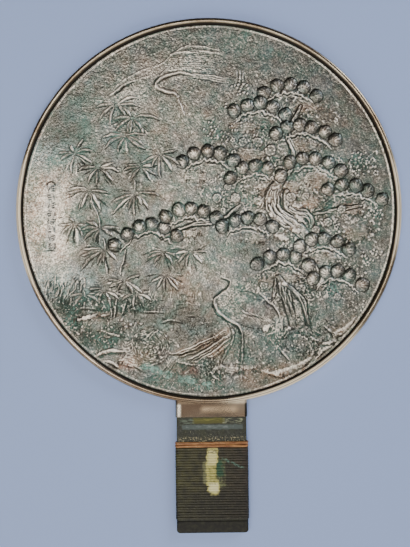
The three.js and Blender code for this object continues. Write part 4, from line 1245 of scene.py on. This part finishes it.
# cast tin bronze, never polished on this side: brown-grey, worn bright on its ridges, green in its hollows,
# with the painted highlights and painted shade that the tone attribute carries
def castBronze():
    material, tree, shader = newMaterial("castTinBronzePatinated")
    place = addNode(tree, "TexCoord", {}, "Object")
    axes = [addNode(tree, "SeparateXYZ", {"Vector": place}, k) for k in (0, 1)]
    toneAt, patinaAt, warmthAt = [addNode(tree, "Attribute", {}, "Fac", attribute_name=name)
                                  for name in ("tone", "patina", "warmth")]
    rubbed = combine(tree, "MULTIPLY", warmthAt, mottle(tree, place, 3.5, 0.2, 0.6, 0.8))
    # dark tone gives painted shade and darker hollows; bright tone gives worn ridges and painted highlights
    darkAndPaintedShade = addNode(tree, "MapRange", {"Value": toneAt, "From Min": 0.0, "From Max": -0.9, "To Max": 0.88})
    brightAndPaintedHighlight = addNode(tree, "MapRange", {"Value": toneAt, "From Min": 0.05, "From Max": 0.75, "To Max": 0.95})
    thick = addNode(tree, "MapRange", {"Value": patinaAt, "From Min": 0.1, "From Max": 0.85, "To Max": 0.65})
    green = combine(tree, "MULTIPLY", thick, mottle(tree, place, 0.9, 0.38, 0.6, 1.0, 3.0, 0.8))
    rich = addNode(tree, "MapRange", {"Value": patinaAt, "From Min": 0.55, "From Max": 1.0, "To Max": 0.7})
    reflectionSpots = mottle(tree, place, 1.2, 0.35, 0.6)
    full = coats(tree, "#41423a", [
        (mottle(tree, place, 0.6, 0.33, 0.67, 1.0, 2.0, 0.7), "#a09e96"),
        *patches(tree, axes, [
            ("#b98c70", -116, -86, -30, 26, 6.0, 0.55, mottle(tree, place, 1.0, 0.42, 0.6)),
            # painted reflection: a bluish-white sheen above and below the bright stretch by the left rim
            ("#a3bcbe", -118, -82, 28, 46, 7.0, 0.55, reflectionSpots),
            ("#a3bcbe", -112, -74, -54, -36, 7.0, 0.55, reflectionSpots),
            ("#a9b1b2", -103, -96.6, -25, 17.6, 0.4, 0.6),
            ("#96685c", -58, -42, -99, -91, 2.5, 0.6),
            ("#93848c", 22, 38, -66, -54, 4.0, 0.35),
        ]),
        (rubbed, "#a88c76"),
        (mottle(tree, place, 6.0, 0.52, 0.72, 0.22, 2.0), "#8a6450"),
        (patch(tree, axes, -18.5, -8, -103, -96, 1.5, 0.75), "#6a4a44"),
        (mottle(tree, place, 9.0, 0.42, 0.68, 0.42, 3.0, 0.5), "#4f7f76"),
        (mottle(tree, place, 14.0, 0.48, 0.7, 0.26, 2.0), "#8798a2"),
        (darkAndPaintedShade, "#211f18"),
        (brightAndPaintedHighlight, "#faf0e1"),
        (green, "#4b8274"),
        (combine(tree, "MULTIPLY", rich, mottle(tree, place, 1.6, 0.45, 0.62)), "#9fc6ba"),
    ])
    grit = addNode(tree, "TexNoise", {"Vector": place, "Scale": 1 / (0.8 * mm), "Detail": 3.0})
    plug(tree, shader, {
        "Base Color": full,
        "Metallic": addNode(tree, "MapRange", {"Value": green, "To Min": 0.85, "To Max": 0.3}),
        "Roughness": addNode(tree, "MapRange", {"Value": green, "To Min": 0.36, "To Max": 0.6}),
        "Normal": addNode(tree, "Bump", {"Height": grit, "Strength": 0.4, "Distance": 0.25 * mm}),
    })
    return material


# the same bronze rubbed by hands: brown, with cream-gold painted highlights on the rim and neck, and painted
# shade in the rim's inner wall
# below the neck it is lacquered, speckled, with old residues of yellow-green and blue-grey
def rubbedBronze():
    material, tree, shader = newMaterial("rubbedTinBronze")
    place = addNode(tree, "TexCoord", {}, "Object")
    axes = [addNode(tree, "SeparateXYZ", {"Vector": place}, k) for k in (0, 1, 2)]
    flat = addNode(tree, "VectorMath", {0: place, 1: (1.0, 1.0, 0.0)}, operation="MULTIPLY")
    reach = addNode(tree, "VectorMath", {0: flat}, "Value", operation="LENGTH")
    # painted shade: the rim's inner wall down to the field is painted near black and made less metallic
    wall = combine(tree, "MULTIPLY", band(tree, reach, 90, 118.0, 0.2), band(tree, axes[2], 1.0, 4.8, 0.15))
    # painted highlights: three stretches of the rim are painted light cream and made less metallic
    paintedRimHighlight = combine(tree, "MAXIMUM", *[patch(tree, axes, *limits, 9.0, 0.9) for limits in (
        (108, 125, -26, 30), (-125, -108, -44, 30), (18, 96, -121, -76))])
    metal = coats(tree, "#8a7862", [
        (mottle(tree, place, 16.0, 0.35, 0.65, 1.0, 5.0), "#c6b9a2"),
        (paintedRimHighlight, "#fdeed2"),
        # painted highlight on the rim's lower left
        (patch(tree, axes, -84, -50, -112, -88, 8.0, 0.3), "#fff0d8"),
        # painted shade: a thin dark line round the top of the rim, between its highlights
        (band(tree, reach, 119.25, 119.6, 0.2), "#57463a"),
        *patches(tree, axes, [
            ("#5d4a3c", -76, 8, -124, -92, 8.0, 0.6),
            ("#54443a", -24, 24, -132, -121, 1.0, 0.75),
            # painted highlights across the neck's middle and along its left edge
            ("#cdb494", -6, 16, -126.0, -123.2, 2.2, 0.7),
            ("#fdf4e2", -22.0, -19.4, -129.2, -121.4, 1.0, 1.0),
            ("#2a281c", -25, -22, -132, -121, 0.3, 0.9),
            ("#38352a", 21.2, 25, -132, -121, 0.4, 0.85),
        ]),
        (wall, "#241c14"),
    ])
    ragged = raggedAxes(tree, place, 2.5, 1.6)
    lengthwise = addNode(tree, "Mapping", {"Vector": place, "Scale": (0.22, 1.0, 1.0)})
    smears = mottle(tree, lengthwise, 0.9, 0.46, 0.6, 1.0, 3.0)
    residue = coats(tree, "#1c1e19", [
        (mottle(tree, place, 1.4, 0.35, 0.7, 1.0, 4.0, 0.7), "#41443b"),
        (mottle(tree, place, 6.0, 0.45, 0.65, 0.5), "#34371d"),
        *patches(tree, ragged, [
            ("#57561f", -12, 8.5, -133.6, -129.9, 0.4, 0.85),
            ("#85843c", -11, 6, -131.9, -130.5, 0.4, 0.6, smears),
            ("#a9af90", 7, 19.5, -133.4, -130.2, 0.6, 0.85, smears),
            ("#56625f", -18.5, 19.5, -137.2, -134.3, 0.4, 0.75),
            ("#818b88", -16, 14, -136.4, -134.8, 0.4, 0.6, smears),
            ("#71816f", -20, -11, -134.5, -130.6, 0.6, 0.6, smears),
        ]),
        *patches(tree, axes, [
            ("#90917a", -30, 30, -143, -137.6, 0.5, 0.8, mottle(tree, place, 0.8, 0.64, 0.7, 1.0, 2.0)),
            ("#b3aa85", -30, 30, -146, -142, 0.8, 0.9, mottle(tree, place, 1.0, 0.54, 0.64, 1.0, 2.0)),
            ("#0d0b06", -30, 30, -210, -194.6, 0.3, 1.0),
            ("#2a2b1a", -30, 30, -210, -194.6, 0.3, 0.8, mottle(tree, place, 2.4, 0.45, 0.65)),
        ]),
    ])
    below = band(tree, axes[1], -300, -129.4, 0.25)
    # less metallic and rougher under the lacquer below the neck, and where the rim carries painted shade and
    # painted highlights
    lacquerAndPaintedLight = combine(tree, "MAXIMUM", below, wall, combine(tree, "MULTIPLY", paintedRimHighlight, 0.8))
    plug(tree, shader, {
        "Base Color": addNode(tree, "Mix", {0: below, 6: metal, 7: residue}, 2, data_type="RGBA"),
        "Metallic": addNode(tree, "MapRange", {"Value": lacquerAndPaintedLight, "To Min": 1.0, "To Max": 0.1}),
        "Roughness": addNode(tree, "MapRange", {"Value": lacquerAndPaintedLight, "To Min": 0.27, "To Max": 0.58}),
    })
    return material


# tinned and polished by hand, since dulled: silver-grey with faint clouds
def polishedFace():
    material, tree, shader = newMaterial("tinnedPolishedBronze")
    place = addNode(tree, "TexCoord", {}, "Object")
    cloud = addNode(tree, "TexNoise", {"Vector": place, "Scale": 1 / (40 * mm), "Detail": 6.0})
    plug(tree, shader, {
        "Base Color": coats(tree, "#b9b6ab", [(cloud, "#8f8a7c")]),
        "Roughness": addNode(tree, "MapRange", {"Value": cloud, "From Min": 0.35, "From Max": 0.7,
                                                "To Min": 0.08, "To Max": 0.3}),
        "Metallic": 1.0,
    })
    return material


# split cane under old lacquer: olive-black, a dull shine on each turn, a pale smear and a green stain over it
def lacqueredCane():
    material, tree, shader = newMaterial("lacqueredSplitCane")
    place = addNode(tree, "TexCoord", {}, "Object")
    axes = [addNode(tree, "SeparateXYZ", {"Vector": place}, k) for k in (0, 1)]
    side = addNode(tree, "MapRange", {"Value": axes[0], "From Min": -22 * mm, "From Max": 20 * mm})
    # the smear bows to the left about its middle, 163 mm below the disc's centre
    along = addNode(tree, "MapRange", {"Value": axes[1], "From Min": -179 * mm, "From Max": -147 * mm,
                                       "To Min": 0.0, "To Max": math.pi})
    swing = addNode(tree, "Math", {0: along}, operation="SINE")
    bow = addNode(tree, "Math", {0: swing, 1: 0.9 * mm, 2: 1.45 * mm}, operation="MULTIPLY_ADD")
    ragged = raggedAxes(tree, place, 2.2, 3.2)
    bowed = [combine(tree, "ADD", ragged[0], bow), ragged[1]]
    # a splash of verdigris slants down to the right
    slant = combine(tree, "ADD", ragged[1], combine(tree, "MULTIPLY", ragged[0], 0.45))
    full = coats(tree, "#4a4a1e", [
        (side, "#3a3127"),
        (mottle(tree, place, 4.0, 0.36, 0.6, 0.85, 6.0, 0.75), "#1b1a12"),
        (patch(tree, axes, -30, 30, -200, -176, 5.0, 0.55), "#17160f"),
        (mottle(tree, place, 1.0, 0.56, 0.7, 0.4, 3.0), "#77745c"),
        *patches(tree, bowed, [
            ("#8d9668", 3.2, 10.6, -174, -155, 0.6, 0.5, mottle(tree, place, 1.6, 0.4, 0.6)),
            ("#1e4a32", 4.0, 9.8, -166.5, -156.5, 0.9, 0.95, mottle(tree, place, 3.0, 0.3, 0.45)),
            ("#8f9066", -3.4, 0, -171, -157, 0.7, 0.55),
            ("#cfc878", -1.2, 5.6, -158, -148.4, 0.5, 0.95),
            ("#c6bf70", -1.4, 5.0, -172, -157, 0.5, 0.95),
            ("#cfc878", -0.6, 6.4, -176.5, -169, 0.8, 0.95),
            ("#cfc878", 0.8, 5.4, -178.0, -172.0, 0.8, 0.95),
            ("#f0eab8", 0.2, 5.4, -176.6, -170.5, 0.8, 0.8),
            ("#e8e0a8", -0.4, 4.6, -159, -150, 0.8, 0.6),
            ("#6a6c2a", 0.4, 5.2, -171, -160, 1.2, 0.8, mottle(tree, place, 2.2, 0.4, 0.6)),
        ]),
        *patches(tree, ragged, [
            ("#4a4526", -3, 3.6, -152, -149.6, 0.3, 0.8, mottle(tree, place, 1.2, 0.45, 0.55)),
        ]),
        *patches(tree, [ragged[0], slant], [
            ("#6b9484", 6.2, 20, -153.2, -151.8, 0.4, 0.65, mottle(tree, place, 1.2, 0.4, 0.55)),
        ]),
    ])
    shiny = addNode(tree, "TexNoise", {"Vector": place, "Scale": 1 / (4 * mm)})
    plug(tree, shader, {
        "Base Color": full,
        "Roughness": addNode(tree, "MapRange", {"Value": shiny, "From Min": 0.35, "From Max": 0.65,
                                                "To Min": 0.3, "To Max": 0.5}),
    })
    return material


# bare split cane: orange-brown, glossy skin
def bareCane():
    material, tree, shader = newMaterial("bareSplitCane")
    place = addNode(tree, "TexCoord", {}, "Object")
    grainwise = addNode(tree, "Mapping", {"Vector": place, "Scale": (0.15, 1.0, 1.0)})
    full = coats(tree, "#6f3d18", [
        (mottle(tree, grainwise, 0.8, 0.35, 0.65), "#bd8a55"),
        (mottle(tree, place, 2.0, 0.58, 0.68, 0.7), "#4d3a26"),
    ])
    plug(tree, shader, {"Base Color": full, "Roughness": 0.36})
    return material


fieldMetal = castBronze()
for quarter in quarters:
    quarter.data.materials.append(fieldMetal)
body.data.materials.clear()
body.data.materials.append(rubbedBronze())
body.data.materials.append(polishedFace())
for face in body.data.polygons:      # the disc's underside is polished, the handle's isn't
    under = face.normal.z < -0.95 and face.center.z < 0.1 * mm
    face.material_index = 1 if under and face.center.y > rimFoot * mm else 0
winding.data.materials.append(lacqueredCane())
cane.data.materials.append(bareCane())

for piece, slot, node in [
    *[(part, "bronze", "mirror_casting") for part in (*quarters, body)],
    (winding, "lacquered_winding", "grip_winding"), (cane, "split_cane", "cane_binding"),
]:
    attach(piece, "root")
    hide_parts(node)
print("pieces placed")
